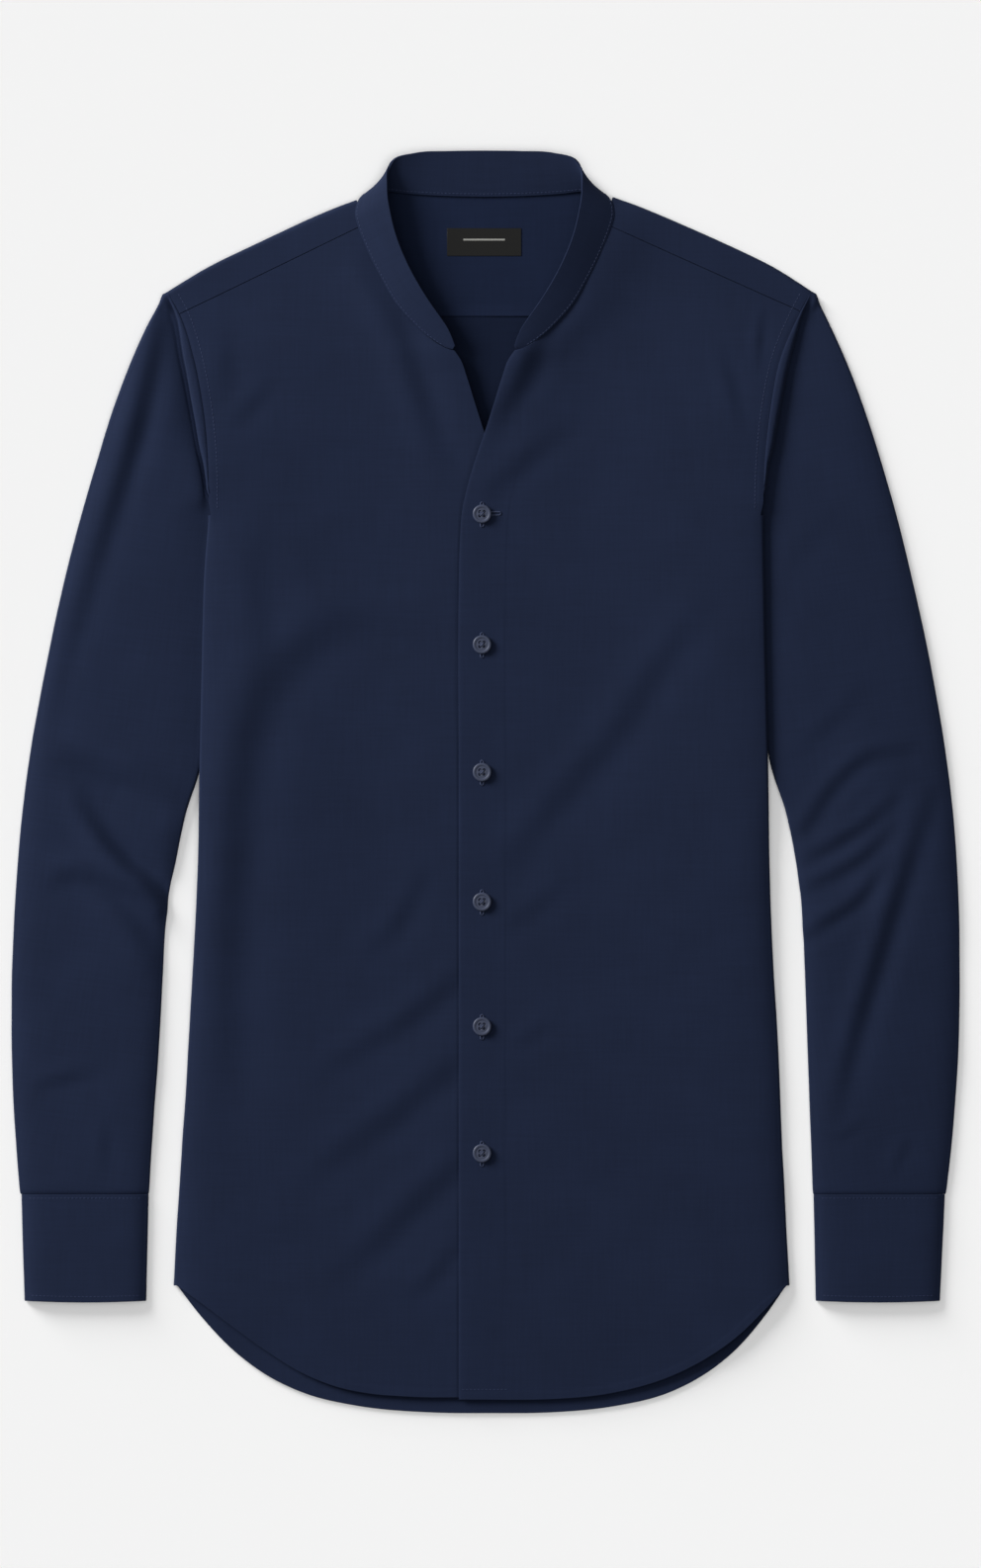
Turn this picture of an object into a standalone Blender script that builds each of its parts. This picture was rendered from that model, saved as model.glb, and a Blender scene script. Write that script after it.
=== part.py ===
"""Tulip collar shirt, buttoned and laid flat on its back: cloth walls, buttons and neck label.

World: metres, +Z up from the surface that the shirt lies on, +Y towards the collar. The wearer's left
lies at +X. Sizes in this file are millimetres, outlines are as seen from straight above, and heights
are those of the middle of the cloth's wall.
"""

import math

import bmesh
import bpy
import numpy as np

MM = 0.001
RIGHT, LEFT = -1, 1  # the wearer's sides, and the sign of their X

# Walls and the air between layers
CLOTH = 1.2
COLLAR_CLOTH = 2.0
CUFF_CLOTH = 1.6
SEAM_GAP = 0.3
BACK_Z = CLOTH / 2
FRONT_Z = 4.4
PRESSED_Z = 2.5  # upper side of a sleeve where the body lies on it
OVERLAP_DROP = 1.8  # how far the right front passes under the left one
FOLD_INSET = CLOTH / 2 + (FRONT_Z - BACK_Z) / 2  # from a folded edge's outline to where its bend starts

# Grid sizes
NECK_ROWS, CHEST_ROWS, BODY_ROWS, FRONT_COLUMNS = 7, 6, 22, 13
SLEEVE_ROWS, SLEEVE_TOP, SLEEVE_UNDER, FOLD_STEPS = 26, 10, 8, 4
YOKE_COLUMNS, YOKE_CENTRE_COLUMNS, YOKE_ROWS, YOKE_FRONT_ROWS = 8, 12, 3, 4
BACK_ARM_ROWS, BACK_COLUMNS = 8, 18
CUFF_ROWS, CUFF_COLUMNS = 3, 6
COLLAR_STATIONS, COLLAR_ROWS = 27, 4
DENSE = 300  # points of a line that others are read from
SLEEVE_KNOTS = 14  # points of a sleeve's edge that its rows are spread over
SHOULDER_CLOSER = 1.3  # above 1, points along an armhole lie closer together towards the shoulder

BODY_X = -2.2  # the body's centre line
COLLAR_X = -0.6  # the collar's centre line

# Half of the collar, from the centre back to the front end. Distances are from COLLAR_X.
# Columns: seam across, seam y, seam z, top edge across, top edge y, top edge z
COLLAR = (
    (0.0, 366.5, 1.8, 0.0, 395.6, 10.5),
    (23.6, 367.0, 1.8, 22.0, 395.3, 11.0),
    (47.1, 368.3, 1.9, 43.4, 394.0, 13.5),
    (62.0, 369.8, 2.3, 57.2, 389.5, 16.5),
    (71.3, 369.5, 3.2, 60.5, 382.0, 18.4),
    (78.1, 365.8, 4.8, 60.8, 374.8, 19.4),
    (81.5, 355.9, 6.3, 60.4, 364.9, 20.0),
    (79.7, 347.8, 6.8, 59.0, 357.1, 20.2),
    (74.3, 333.9, 7.0, 55.9, 344.1, 20.0),
    (64.1, 313.5, 7.3, 47.7, 323.6, 18.8),
    (55.6, 299.3, 7.6, 40.3, 310.0, 17.4),
    (46.1, 288.4, 7.9, 33.1, 298.8, 15.8),
    (37.5, 280.3, 8.2, 27.0, 290.2, 14.2),
    (29.0, 274.3, 8.6, 22.6, 283.3, 12.6),
    (22.4, 271.2, 8.9, 19.5, 275.9, 11.0),
    (20.2, 270.8, 9.0, 18.6, 273.2, 10.3),
)
COLLAR_BACK = 4  # rows of COLLAR along the back of the neck
COLLAR_FRONT = (6, 15)  # rows of COLLAR along the front's neck edge, from the yoke on
NECK_END = (18.9, 270.3)

# Free front edge of either front. Columns: across from COLLAR_X towards the front's own side, y
FRONT_EDGE = (
    NECK_END,
    (14.9, 264.5),
    (11.2, 254.2),
    (5.4, 235.6),
    (0.0, 218.9),
    (-5.2, 203.6),
    (-9.9, 188.2),
    (-13.7, 171.7),
    (-15.4, 150.0),
    (-16.1, 118.4),
    (-16.1, 0.0),
    (-16.1, -387.0),
)

# Outline of the shoulder fold, from the neck to the armhole. Columns: x, y
SHOULDER = {
    RIGHT: ((-80.8, 364.6), (-109.1, 353.0), (-142.0, 338.1), (-173.2, 323.2), (-199.3, 307.4)),
    LEFT: ((79.8, 366.6), (114.1, 353.2), (148.2, 338.4), (179.6, 323.2), (204.0, 307.8)),
}
YOKE_FRONT_Y = {RIGHT: (347.5, 293.3), LEFT: (348.1, 295.0)}  # at the neck and at the armhole
YOKE_BACK_Y = 293.6
YOKE_NECK_Y = 357.5  # middle of the yoke's short edge along the neck

# Front armhole, from the yoke's front seam down to the underarm. Columns: x, y
ARMHOLE = {
    RIGHT: (
        (-191.6, 293.3), (-182.9, 266.6), (-177.3, 238.1), (-174.2, 210.2), (-173.3, 181.7),
        (-173.4, 165.0),
    ),
    LEFT: (
        (197.2, 295.0), (184.6, 265.4), (178.3, 235.0), (175.2, 207.0), (174.0, 181.0),
        (173.8, 165.0),
    ),
}
UNDERARM_Y = 167.0
NECK_ROW_ARM_Y = 245.0  # where the row of points from the neck's front end meets the armhole
ARM_FOOT = 6.0  # the front's armhole ends this far above the side fold
BACK_ARM_FOOT = 16.0  # the back's armhole bends into the side seam this far above the underarm

# Outline of the body below the underarm. Columns: y, x at the wearer's right, x at the wearer's left
SIDES = (
    (165.0, -173.4, 173.8),
    (131.0, -176.0, 174.3),
    (87.0, -177.3, 175.2),
    (13.0, -178.6, 176.8),
    (-61.0, -179.8, 177.9),
    (-111.0, -182.3, 179.8),
    (-161.0, -185.4, 182.9),
    (-210.0, -188.5, 184.8),
    (-260.0, -192.0, 187.2),
    (-319.0, -195.4, 190.4),
)
SIDE_END_Y = -315.5  # where the side fold stops and the hem begins

# Front hems, from the free edge out to the side. Columns: x, y
FRONT_HEM = {
    RIGHT: (
        (15.5, -385.2), (-52.1, -385.0), (-73.2, -383.2), (-93.6, -378.9), (-114.7, -370.4),
        (-135.2, -357.9), (-156.2, -342.9), (-176.7, -327.4),
    ),
    LEFT: (
        (-16.7, -387.0), (43.4, -386.6), (66.0, -384.9), (88.7, -380.9), (111.0, -374.4),
        (133.7, -363.8), (156.2, -348.6), (173.6, -332.0),
    ),
}
# Back hem. Columns: x, y
BACK_HEM = (
    (-193.0, -316.2), (-178.6, -334.6), (-154.6, -359.2), (-138.2, -371.2), (-111.6, -383.8),
    (-79.4, -391.2), (-34.0, -395.2), (3.0, -395.6), (40.0, -395.2), (81.2, -391.2), (112.2, -383.8),
    (136.8, -371.6), (153.2, -359.2), (175.0, -334.8), (188.8, -316.2),
)

# Outline of the sleeves' outer edges. Columns: y, x at the wearer's right, x at the wearer's left
SLEEVE_OUTER = (
    (293.3, -208.3, 212.7),
    (273.4, -217.6, 222.0),
    (223.8, -236.2, 240.6),
    (174.2, -251.1, 255.4),
    (124.6, -264.1, 267.8),
    (75.0, -274.7, 278.4),
    (25.4, -284.0, 287.1),
    (-24.2, -290.6, 293.3),
    (-73.8, -294.5, 296.2),
    (-123.4, -296.6, 297.0),
    (-173.0, -296.6, 295.9),
    (-222.6, -294.3, 292.3),
    (-258.2, -291.3, 288.2),
)
# Outline of the sleeves' inner edges, hidden under the body as far as y = 10
SLEEVE_INNER = (
    (162.0, -167.6, 167.6),
    (87.4, -172.2, 170.4),
    (44.0, -175.2, 173.2),
    (6.0, -179.2, 179.6),
    (-11.8, -185.4, 186.0),
    (-36.6, -191.4, 192.0),
    (-61.4, -196.3, 196.3),
    (-86.2, -200.4, 198.6),
    (-111.0, -201.8, 199.8),
    (-160.6, -204.5, 201.7),
    (-210.2, -208.2, 203.6),
    (-258.2, -211.4, 205.6),
)

# Cuffs. Columns: y, outer x and inner x at the wearer's right, inner x and outer x at the wearer's left
CUFF = (
    (-258.7, -290.8, -211.2, 205.6, 287.9),
    (-290.0, -290.0, -211.9, 206.2, 286.4),
    (-325.2, -288.9, -212.7, 206.9, 284.8),
)
CUFF_Z = 4.6
CUFF_SAG = 0.9  # how far the middle of the cuff's lower edge reaches below its corners

# Height of the cloth above FRONT_Z along the neck and front edges. Columns: y, rise
NECK_RISE = (
    (130.0, 0.0), (171.0, 0.3), (188.0, 0.6), (204.0, 1.0), (219.0, 1.5), (236.0, 2.3), (254.0, 3.3),
    (270.0, 4.5), (280.0, 3.8), (299.0, 3.2), (324.0, 2.8), (348.0, 2.4), (356.0, 1.9), (367.0, 0.0),
)
NECK_FALL = 24.0
# Height that the sleeve beneath gives to the front's and the back's side edges. Columns: y, front, back
SIDE_LIFT = (
    (-48.0, 0.0, 0.0), (-30.0, 0.8, 0.8), (-12.0, 2.4, 2.4), (2.0, 3.6, 3.6), (188.0, 3.6, 3.6),
    (200.0, 3.6, 1.4), (212.0, 3.5, 0.0), (235.0, 3.0, 0.0), (265.0, 2.2, 0.0), (290.0, 0.8, 0.0),
    (306.0, 0.0, 0.0),
)
LIFT_FLAT, LIFT_END = 9.0, 45.0  # from the edge inwards: level that far, then down to nothing
OVERLAP_EASE = (-14.0, -1.5)  # distances from the upper front's edge between which the lower one sinks
BACK_INSET = 9.2  # how much further in the back armhole lies than the front one
BACK_INSET_OVER = 70.0  # length of armhole from the shoulder over which it reaches that
LONG_SEAM_GAP = 0.5  # of a seam whose two sides have chords of different length
COLLAR_CLEAR = 1.0  # from the neck seam's line to the collar's wall

# The sleeve's upper edge. Lengths are along the armhole, from the shoulder or from the underarm
TUCK = 5.0  # how far it goes in under the front
TUCK_FROM, TUCK_TO = 7.0, 28.0  # from the shoulder, where it starts and ends to go in
TUCK_SINK = 1.7  # how far it lies below the front
SINK_TO = 6.5  # from the shoulder, where it has sunk that far
LEVEL_FROM, LEVEL_TO = 16.0, 4.0  # from the underarm, where it levels out
ARM_TOP = 3.0  # it ends this far above the underarm
RING_OUT = 1.4  # the next row of points, outside the armhole at the shoulder
RING_IN = 4.6  # and inside it at the underarm
RING_OVER = 26.0  # length from the underarm over which it changes sides
RING_DROP = 4.0  # how far that row's end lies below the edge's end
PRESS_BELOW = (-45.0, 5.0)  # values of y between which the body starts to press the sleeve
PRESS_ABOVE = (-1.0, -22.0)  # the same from the shoulder tip down
PRESS_REACH = 20.0  # how far outside the body's outline the sleeve stays pressed

# Largest folds of the cloth, each with a low ridge beside it. Columns: points of the trough, half width,
# depth at start, middle and end
FOLD_POINTS = 30
FOLD_RIDGE = 0.7
BODY_FOLDS = (
    (((-106.0, 90.5), (-140.0, 44.0), (-152.5, -67.6), (-158.7, -222.6)), 15.0, 0.5, 1.0, 0.3),
    (((-106.0, 90.5), (-62.6, 99.8), (-19.2, 81.2)), 12.0, 0.5, 0.6, 0.2),
    (((-39.7, -60.1), (-53.9, -86.8), (-78.7, -111.6)), 11.0, 0.4, 0.6, 0.1),
    (((-19.2, -124.0), (-41.5, -144.5), (-82.5, -169.3), (-109.1, -187.9)), 12.0, 0.6, 1.0, 0.2),
    (((-27.3, -182.9), (-58.3, -211.4), (-102.9, -244.3)), 12.0, 0.8, 0.9, 0.2),
    (((-19.2, -244.3), (-41.5, -265.4), (-91.1, -308.1)), 13.0, 0.8, 1.0, 0.2),
    (((-83.1, 315.0), (-62.6, 279.6), (-42.2, 255.4), (-27.9, 220.7)), 9.0, 0.3, 1.0, 0.6),
    (((62.6, 310.6), (44.0, 275.9), (23.6, 249.2), (8.0, 226.0)), 9.0, 0.2, 1.0, 0.4),
    (((56.4, 224.4), (29.8, 205.8), (5.0, 183.5)), 9.0, 0.1, 0.7, 0.5),
    (((134.5, 107.3), (78.7, 26.0), (48.4, -6.8), (15.5, -47.7)), 15.0, 0.4, 1.0, 0.6),
)
SLEEVE_FOLDS = {
    RIGHT: (
        (((-216.4, 224.4), (-232.5, 177.3), (-240.6, 132.1), (-253.0, 101.7)), 11.0, 0.3, 0.9, 0.2),
        (((-257.3, 13.6), (-230.0, 4.0), (-204.0, -11.2)), 8.0, 0.3, 0.9, 0.5),
        (((-257.3, -0.6), (-246.8, -27.3), (-230.6, -45.9), (-199.6, -66.3)), 8.5, 0.5, 1.6, 1.5),
        (((-265.4, -68.8), (-246.8, -64.5), (-232.5, -76.9), (-204.0, -105.4)), 8.0, 0.3, 1.0, 0.7),
    ),
    LEFT: (
        (((235.0, 56.4), (215.0, 38.0), (194.1, 18.0)), 9.0, 0.2, 0.8, 0.5),
        (((259.8, 18.0), (233.1, 11.8), (212.7, -6.8), (198.4, -29.8)), 8.5, 0.4, 1.4, 1.0),
        (((235.0, -74.4), (219.0, -84.0), (204.0, -97.3)), 7.5, 0.2, 0.9, 0.7),
        (((284.6, -9.3), (255.4, -76.9), (233.1, -142.6), (222.6, -193.4)), 10.0, 0.5, 1.5, 0.7),
    ),
}

# Fastenings and label
BUTTON_X = -2.2
BUTTON_YS = (168.0, 86.2, 6.2, -75.0, -153.1, -232.5)
BUTTON_LIFT = 0.35  # clear of the highest cloth beneath
# Turned profile of a button. Columns: radius, height above its underside
BUTTON_PROFILE = ((4.6, 0.0), (5.9, 0.7), (5.9, 1.6), (5.2, 2.2), (4.3, 1.9), (3.6, 1.3))
BUTTON_SIDES = 16
SHARP = math.radians(40)
LABEL_CENTRE = (-0.9, 338.6)
LABEL_SIZE = (46.5, 17.4, 1.0)

# Colours (linear) and finish
NAVY = (0.0146, 0.0216, 0.0500)
NAVY_LIGHT = (0.0176, 0.0255, 0.0560)
BUTTON_NAVY = (0.045, 0.060, 0.120)
LABEL_BLACK = (0.019, 0.019, 0.017)


# ---------------------------------------------------------------- lines and grids


def curve(points, steps=20):
    """Dense smooth line through points: cubic pieces, with the slope at a point from its two chords."""
    points = np.asarray(points, float)
    chords = np.diff(points, axis=0)
    lengths = np.linalg.norm(chords, axis=1)[:, None]
    slopes = chords / lengths
    inner = (slopes[:-1] * lengths[1:] + slopes[1:] * lengths[:-1]) / (lengths[:-1] + lengths[1:])
    slopes = np.vstack([slopes[:1], inner, slopes[-1:]])
    t = np.linspace(0, 1, steps, endpoint=False)[:, None]
    pieces = [
        (2 * t**3 - 3 * t**2 + 1) * points[i]
        + (t**3 - 2 * t**2 + t) * slopes[i] * lengths[i]
        + (3 * t**2 - 2 * t**3) * points[i + 1]
        + (t**3 - t**2) * slopes[i + 1] * lengths[i]
        for i in range(len(lengths))
    ]
    return np.vstack([*pieces, points[-1:]])


def distances(line):
    """Length along a line up to each of its points."""
    return np.r_[0, np.cumsum(np.linalg.norm(np.diff(line, axis=0), axis=1))]


def spread(line, shares):
    """Points at these shares of a line's length."""
    length = distances(line)
    at = np.asarray(shares) * length[-1]
    return np.column_stack([np.interp(at, length, column) for column in line.T])


def even(count):
    return np.linspace(0, 1, count + 1)


def x_at(line, y):
    """x of a line at height y, where its y only rises or only falls."""
    order = np.argsort(line[:, 1])
    return np.interp(y, line[order, 1], line[order, 0])


def stretch(line, y_from, y_to, shares):
    """The part of a line between two values of y, sampled at shares of its length."""
    y = np.linspace(y_from, y_to, DENSE)
    return spread(np.column_stack([x_at(line, y), y]), shares)


def plan_normals(line):
    """Unit vectors across a line, to the left of its direction."""
    along = np.gradient(line, axis=0)
    along /= np.linalg.norm(along, axis=1)[:, None]
    return np.column_stack([-along[:, 1], along[:, 0]])


def patch(near, far, first, last):
    """Grid between four lines in plan: the two ruled surfaces added, less the one between the corners."""
    u = np.linspace(0, 1, len(near))[None, :, None]
    v = np.linspace(0, 1, len(first))[:, None, None]
    rows = (1 - v) * near[None] + v * far[None]
    columns = (1 - u) * first[:, None] + u * last[:, None]
    corners = (1 - v) * ((1 - u) * near[0] + u * near[-1]) + v * ((1 - u) * far[0] + u * far[-1])
    return rows + columns - corners


def raised(plan, height):
    """A plan grid with its heights."""
    return np.concatenate([plan, np.broadcast_to(height, plan.shape[:-1])[..., None]], axis=-1)


def bend(upper, lower, outward):
    """Grid round a half circle from an upper line to the lower line beneath it."""
    angles = np.linspace(0, math.pi, FOLD_STEPS + 1)[None, :, None]
    middle = (upper + lower)[:, None] / 2
    radius = (upper[:, 2] - lower[:, 2])[:, None, None] / 2
    sideways = np.column_stack([outward, np.zeros(len(outward))])[:, None]
    return middle + radius * (np.sin(angles) * sideways + np.cos(angles) * np.array([0, 0, 1.0]))


# ---------------------------------------------------------------- heights


def ease(value, start, end):
    """0 before start, 1 after end, and smooth between."""
    share = np.clip((value - start) / (end - start), 0, 1)
    return share * share * (3 - 2 * share)


def table_at(table, column, value):
    """A table's column at a value of its first column, smooth and with no overshoot between the rows."""
    at, known = np.array(table)[:, 0], np.array(table)[:, column]
    steps, rises = np.diff(at), np.diff(known) / np.diff(at)
    level = rises[:-1] * rises[1:] <= 0
    mean = 2 * rises[:-1] * rises[1:] / np.where(level, 1, rises[:-1] + rises[1:])
    slopes = np.r_[0, np.where(level, 0, mean), 0]
    value = np.clip(value, at[0], at[-1])
    i = np.clip(np.searchsorted(at, value) - 1, 0, len(steps) - 1)
    t = (value - at[i]) / steps[i]
    return (
        (2 * t**3 - 3 * t**2 + 1) * known[i]
        + (t**3 - 2 * t**2 + t) * slopes[i] * steps[i]
        + (3 * t**2 - 2 * t**3) * known[i + 1]
        + (t**3 - t**2) * slopes[i + 1] * steps[i]
    )


def fold_depth(folds, x, y):
    """Sum of soft troughs: each a bell across its path with a low ridge on both sides."""
    total = np.zeros(np.shape(x))
    for path, half_width, start, middle, end in folds:
        line = spread(curve(path), even(FOLD_POINTS))
        away = np.hypot(x[..., None] - line[:, 0], y[..., None] - line[:, 1])
        share = away.argmin(axis=-1) / (len(line) - 1)
        across = (away.min(axis=-1) / half_width) ** 2
        depth = np.interp(share, (0, 0.5, 1), (start, middle, end))
        total += depth * (1 - FOLD_RIDGE * across) * np.exp(-across)
    return total


def outline(table, side):
    """Smooth line of one side, from a table of y, x at the wearer's right, x at the wearer's left."""
    return curve([(row[1 if side == RIGHT else 2], row[0]) for row in table])


def arm_up(side):
    """Unit vector in plan from the front yoke seam's outer end to the shoulder tip."""
    way = SHOULDER_TIP[side] - ARMHOLE[side][0]
    return way / np.linalg.norm(way)


NECK_SEAM = curve([row[:2] for row in COLLAR[COLLAR_FRONT[0] - 1 : COLLAR_FRONT[1]]] + [NECK_END])
FREE_EDGE = curve(FRONT_EDGE)
SHOULDER_TIP = {side: np.array(SHOULDER[side][-1]) for side in (RIGHT, LEFT)}
ARM_UP = {side: arm_up(side) for side in (RIGHT, LEFT)}
# From the bend over the shoulder down past the underarm
ARM_LINE = {
    side: curve([SHOULDER_TIP[side] - FOLD_INSET * ARM_UP[side], *ARMHOLE[side]]) for side in (RIGHT, LEFT)
}
SIDE_LINE = {side: outline(SIDES, side) for side in (RIGHT, LEFT)}
BODY_LINE = {
    side: np.vstack([ARM_LINE[side][ARM_LINE[side][:, 1] > SIDES[0][0]], SIDE_LINE[side]])
    for side in (RIGHT, LEFT)
}


def inward(x, y):
    """Distance from the nearer armhole or side outline towards the body's centre line."""
    return np.where(x < BODY_X, x - x_at(BODY_LINE[RIGHT], y), x_at(BODY_LINE[LEFT], y) - x)


def side_lift(column, x, y):
    return table_at(SIDE_LIFT, column, y) * (1 - ease(inward(x, y), LIFT_FLAT, LIFT_END))


def back_height(x, y):
    return BACK_Z + side_lift(2, x, y)


def neck_half_width(y):
    """From COLLAR_X to the neck seam or to the free edge, and nothing below where the edges cross."""
    edge = np.maximum(x_at(FREE_EDGE, y), 0)
    return np.where(y > NECK_END[1], x_at(NECK_SEAM, y), edge)


def front_height(x, y):
    """The fronts and the yoke's front, before one front passes under the other."""
    from_edge = np.hypot(x - COLLAR_X, 1.0) - neck_half_width(y)
    rise = table_at(NECK_RISE, 1, y) * np.exp(-((from_edge / NECK_FALL) ** 2))
    return FRONT_Z + rise + side_lift(1, x, y) - fold_depth(BODY_FOLDS, x, y)


def under_height(x, y):
    """The right front, which passes under the left one."""
    over_edge = COLLAR_X + x_at(FREE_EDGE, y)
    z = front_height(x, y) - OVERLAP_DROP * ease(x - over_edge, *OVERLAP_EASE)
    return np.maximum(z, back_height(x, y) + CLOTH + SEAM_GAP)


def sleeve_height(side, x, y):
    """Upper side of a sleeve, pressed down along the armhole and under the body."""
    free = FRONT_Z - fold_depth(SLEEVE_FOLDS[side], x, y)
    pressed = ease(y, *PRESS_BELOW) * ease(y - SHOULDER_TIP[side][1], *PRESS_ABOVE)
    close = pressed * (1 - ease(-inward(x, y), 0.0, PRESS_REACH))
    return free * (1 - close) + PRESSED_Z * close


# ---------------------------------------------------------------- objects


def material(name, colour, roughness):
    made = bpy.data.materials.new(name)
    made.use_nodes = True
    shader = made.node_tree.nodes["Principled BSDF"]
    shader.inputs["Base Color"].default_value = (*colour, 1)
    shader.inputs["Roughness"].default_value = roughness
    return made


def mesh_object(name, points, faces, look):
    mesh = bpy.data.meshes.new(name)
    mesh.from_pydata((np.asarray(points) * MM).tolist(), [], faces)
    mesh.materials.append(look)
    mesh.shade_smooth()
    made = bpy.data.objects.new(name, mesh)
    bpy.context.scene.collection.objects.link(made)
    return made


def cloth(name, grids, wall, look):
    """One wall through grids of points that share their edges."""
    points, faces = [], []
    for grid in grids:
        start = sum(len(part) for part in points)
        index = start + np.arange(grid.shape[0] * grid.shape[1]).reshape(grid.shape[:2])
        points.append(grid.reshape(-1, 3))
        corners = (index[:-1, :-1], index[1:, :-1], index[1:, 1:], index[:-1, 1:])
        faces.append(np.stack(corners, axis=-1).reshape(-1, 4))
    points, faces = np.concatenate(points), np.concatenate(faces)
    _, first, shared = np.unique(np.round(points, 4), axis=0, return_index=True, return_inverse=True)
    made = mesh_object(name, points[first], shared.reshape(-1)[faces].tolist(), look)
    sheet = bmesh.new()
    sheet.from_mesh(made.data)
    bmesh.ops.recalc_face_normals(sheet, faces=sheet.faces)
    sheet.to_mesh(made.data)
    sheet.free()
    thick = made.modifiers.new("wall", "SOLIDIFY")
    thick.thickness = wall * MM
    thick.offset = 0
    thick.use_rim = True
    return made


# ---------------------------------------------------------------- body


def neck_line(side, y_from, y_to, count):
    """Part of the neck seam on one side."""
    line = stretch(NECK_SEAM, y_from, y_to, even(count))
    return np.column_stack([COLLAR_X + side * line[:, 0], line[:, 1]])


def free_edge(side, y_from, y_to, count):
    """Part of a front's free edge."""
    line = stretch(FREE_EDGE, y_from, y_to, even(count))
    return np.column_stack([COLLAR_X + side * line[:, 0], line[:, 1]])


def fold_start(side, y_from, y_to, count):
    """Where the side fold's bend starts, just inside the body's outline."""
    line = stretch(SIDE_LINE[side], y_from, y_to, even(count))
    return line - [side * FOLD_INSET, 0]


def front(side, name, height, look):
    """A front: its panel from the yoke to the hem, then round the side fold to the side seam."""
    neck_y, arm_y = np.array(YOKE_FRONT_Y[side]) - SEAM_GAP / 2
    hem = FRONT_HEM[side]
    edge = np.vstack([
        neck_line(side, neck_y, NECK_END[1], NECK_ROWS),
        free_edge(side, NECK_END[1], UNDERARM_Y, CHEST_ROWS)[1:],
        free_edge(side, UNDERARM_Y, hem[0][1], BODY_ROWS)[1:],
    ])
    outer = np.vstack([
        stretch(ARM_LINE[side], arm_y, NECK_ROW_ARM_Y, even(NECK_ROWS)),
        stretch(ARM_LINE[side], NECK_ROW_ARM_Y, UNDERARM_Y + ARM_FOOT, even(CHEST_ROWS))[1:-1],
        fold_start(side, UNDERARM_Y, SIDE_END_Y, BODY_ROWS),
    ])
    top = spread(np.array([edge[0], outer[0]]), even(FRONT_COLUMNS))
    bottom = spread(curve([edge[-1], *hem[1:], outer[-1]]), even(FRONT_COLUMNS))
    plan = patch(top, bottom, edge, outer)
    panel = raised(plan, height(plan[..., 0], plan[..., 1]))
    upper = panel[-BODY_ROWS - 1 :, -1]
    lower = raised(upper[:, :2], back_height(upper[:, 0], upper[:, 1]))
    outward = np.tile([side, 0.0], (len(upper), 1))
    return cloth(name, [panel, bend(upper, lower, outward)], CLOTH, look)


def back_armhole(side, shares, extra):
    """Back armhole, further in than the front one except at the shoulder, moved in by extra."""
    line = stretch(ARM_LINE[side], ARM_LINE[side][0, 1], UNDERARM_Y, shares)
    inset = BACK_INSET * ease(distances(line), 0.0, BACK_INSET_OVER) + extra
    return line - side * inset[:, None] * plan_normals(line)


def back_side(side):
    """The back's edge, down the armhole and the side seam."""
    arm = back_armhole(side, even(DENSE), LONG_SEAM_GAP)
    arm = arm[arm[:, 1] > UNDERARM_Y + BACK_ARM_FOOT]
    seam = fold_start(side, UNDERARM_Y, SIDE_END_Y, DENSE) - [side * LONG_SEAM_GAP, 0]
    line = np.vstack([arm, seam])
    return np.vstack([
        stretch(line, YOKE_BACK_Y - SEAM_GAP / 2, UNDERARM_Y, even(BACK_ARM_ROWS)),
        stretch(line, UNDERARM_Y, SIDE_END_Y, even(BODY_ROWS))[1:],
    ])


def back_panel(look):
    edges = [back_side(side) for side in (RIGHT, LEFT)]
    top = spread(np.array([edges[0][0], edges[1][0]]), even(BACK_COLUMNS))
    bottom = spread(curve([edges[0][-1], *BACK_HEM[1:-1], edges[1][-1]]), even(BACK_COLUMNS))
    plan = patch(top, bottom, *edges)
    return cloth("back_panel", [raised(plan, back_height(plan[..., 0], plan[..., 1]))], CLOTH, look)


def yoke_side(side, neck_foot):
    """One side of the yoke: its back, the bend over the shoulder, and its front strip."""
    tip = spread(curve(SHOULDER[side]), even(YOKE_COLUMNS))
    across = side * plan_normals(tip)
    across[-1] = ARM_UP[side]
    start = tip - FOLD_INSET * across
    start[-1] = ARM_LINE[side][0]
    back_y = YOKE_BACK_Y + SEAM_GAP / 2
    arm = back_armhole(side, even(DENSE), LONG_SEAM_GAP)
    arm_foot = np.array([x_at(arm, back_y), back_y])
    neck_column = spread(np.array([neck_foot, start[0]]), even(YOKE_ROWS))
    arm_column = np.vstack([stretch(arm, back_y, start[-1, 1], even(YOKE_ROWS))[:-1], start[-1]])
    foot = spread(np.array([neck_foot, arm_foot]), even(YOKE_COLUMNS))
    under = raised(patch(foot, start, neck_column, arm_column), BACK_Z)
    neck_y, arm_y = np.array(YOKE_FRONT_Y[side]) + SEAM_GAP / 2
    neck_edge = curve([start[0], *neck_line(side, YOKE_NECK_Y, neck_y, 2)])
    neck_edge = spread(neck_edge, even(YOKE_FRONT_ROWS))
    arm_edge = stretch(ARM_LINE[side], start[-1, 1], arm_y, even(YOKE_FRONT_ROWS))
    seam = spread(np.array([neck_edge[-1], arm_edge[-1]]), even(YOKE_COLUMNS))
    plan = patch(start, seam, neck_edge, arm_edge)
    over = raised(plan, front_height(plan[..., 0], plan[..., 1]))
    return under, bend(over[0], under[-1], across), over, start[0]


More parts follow.
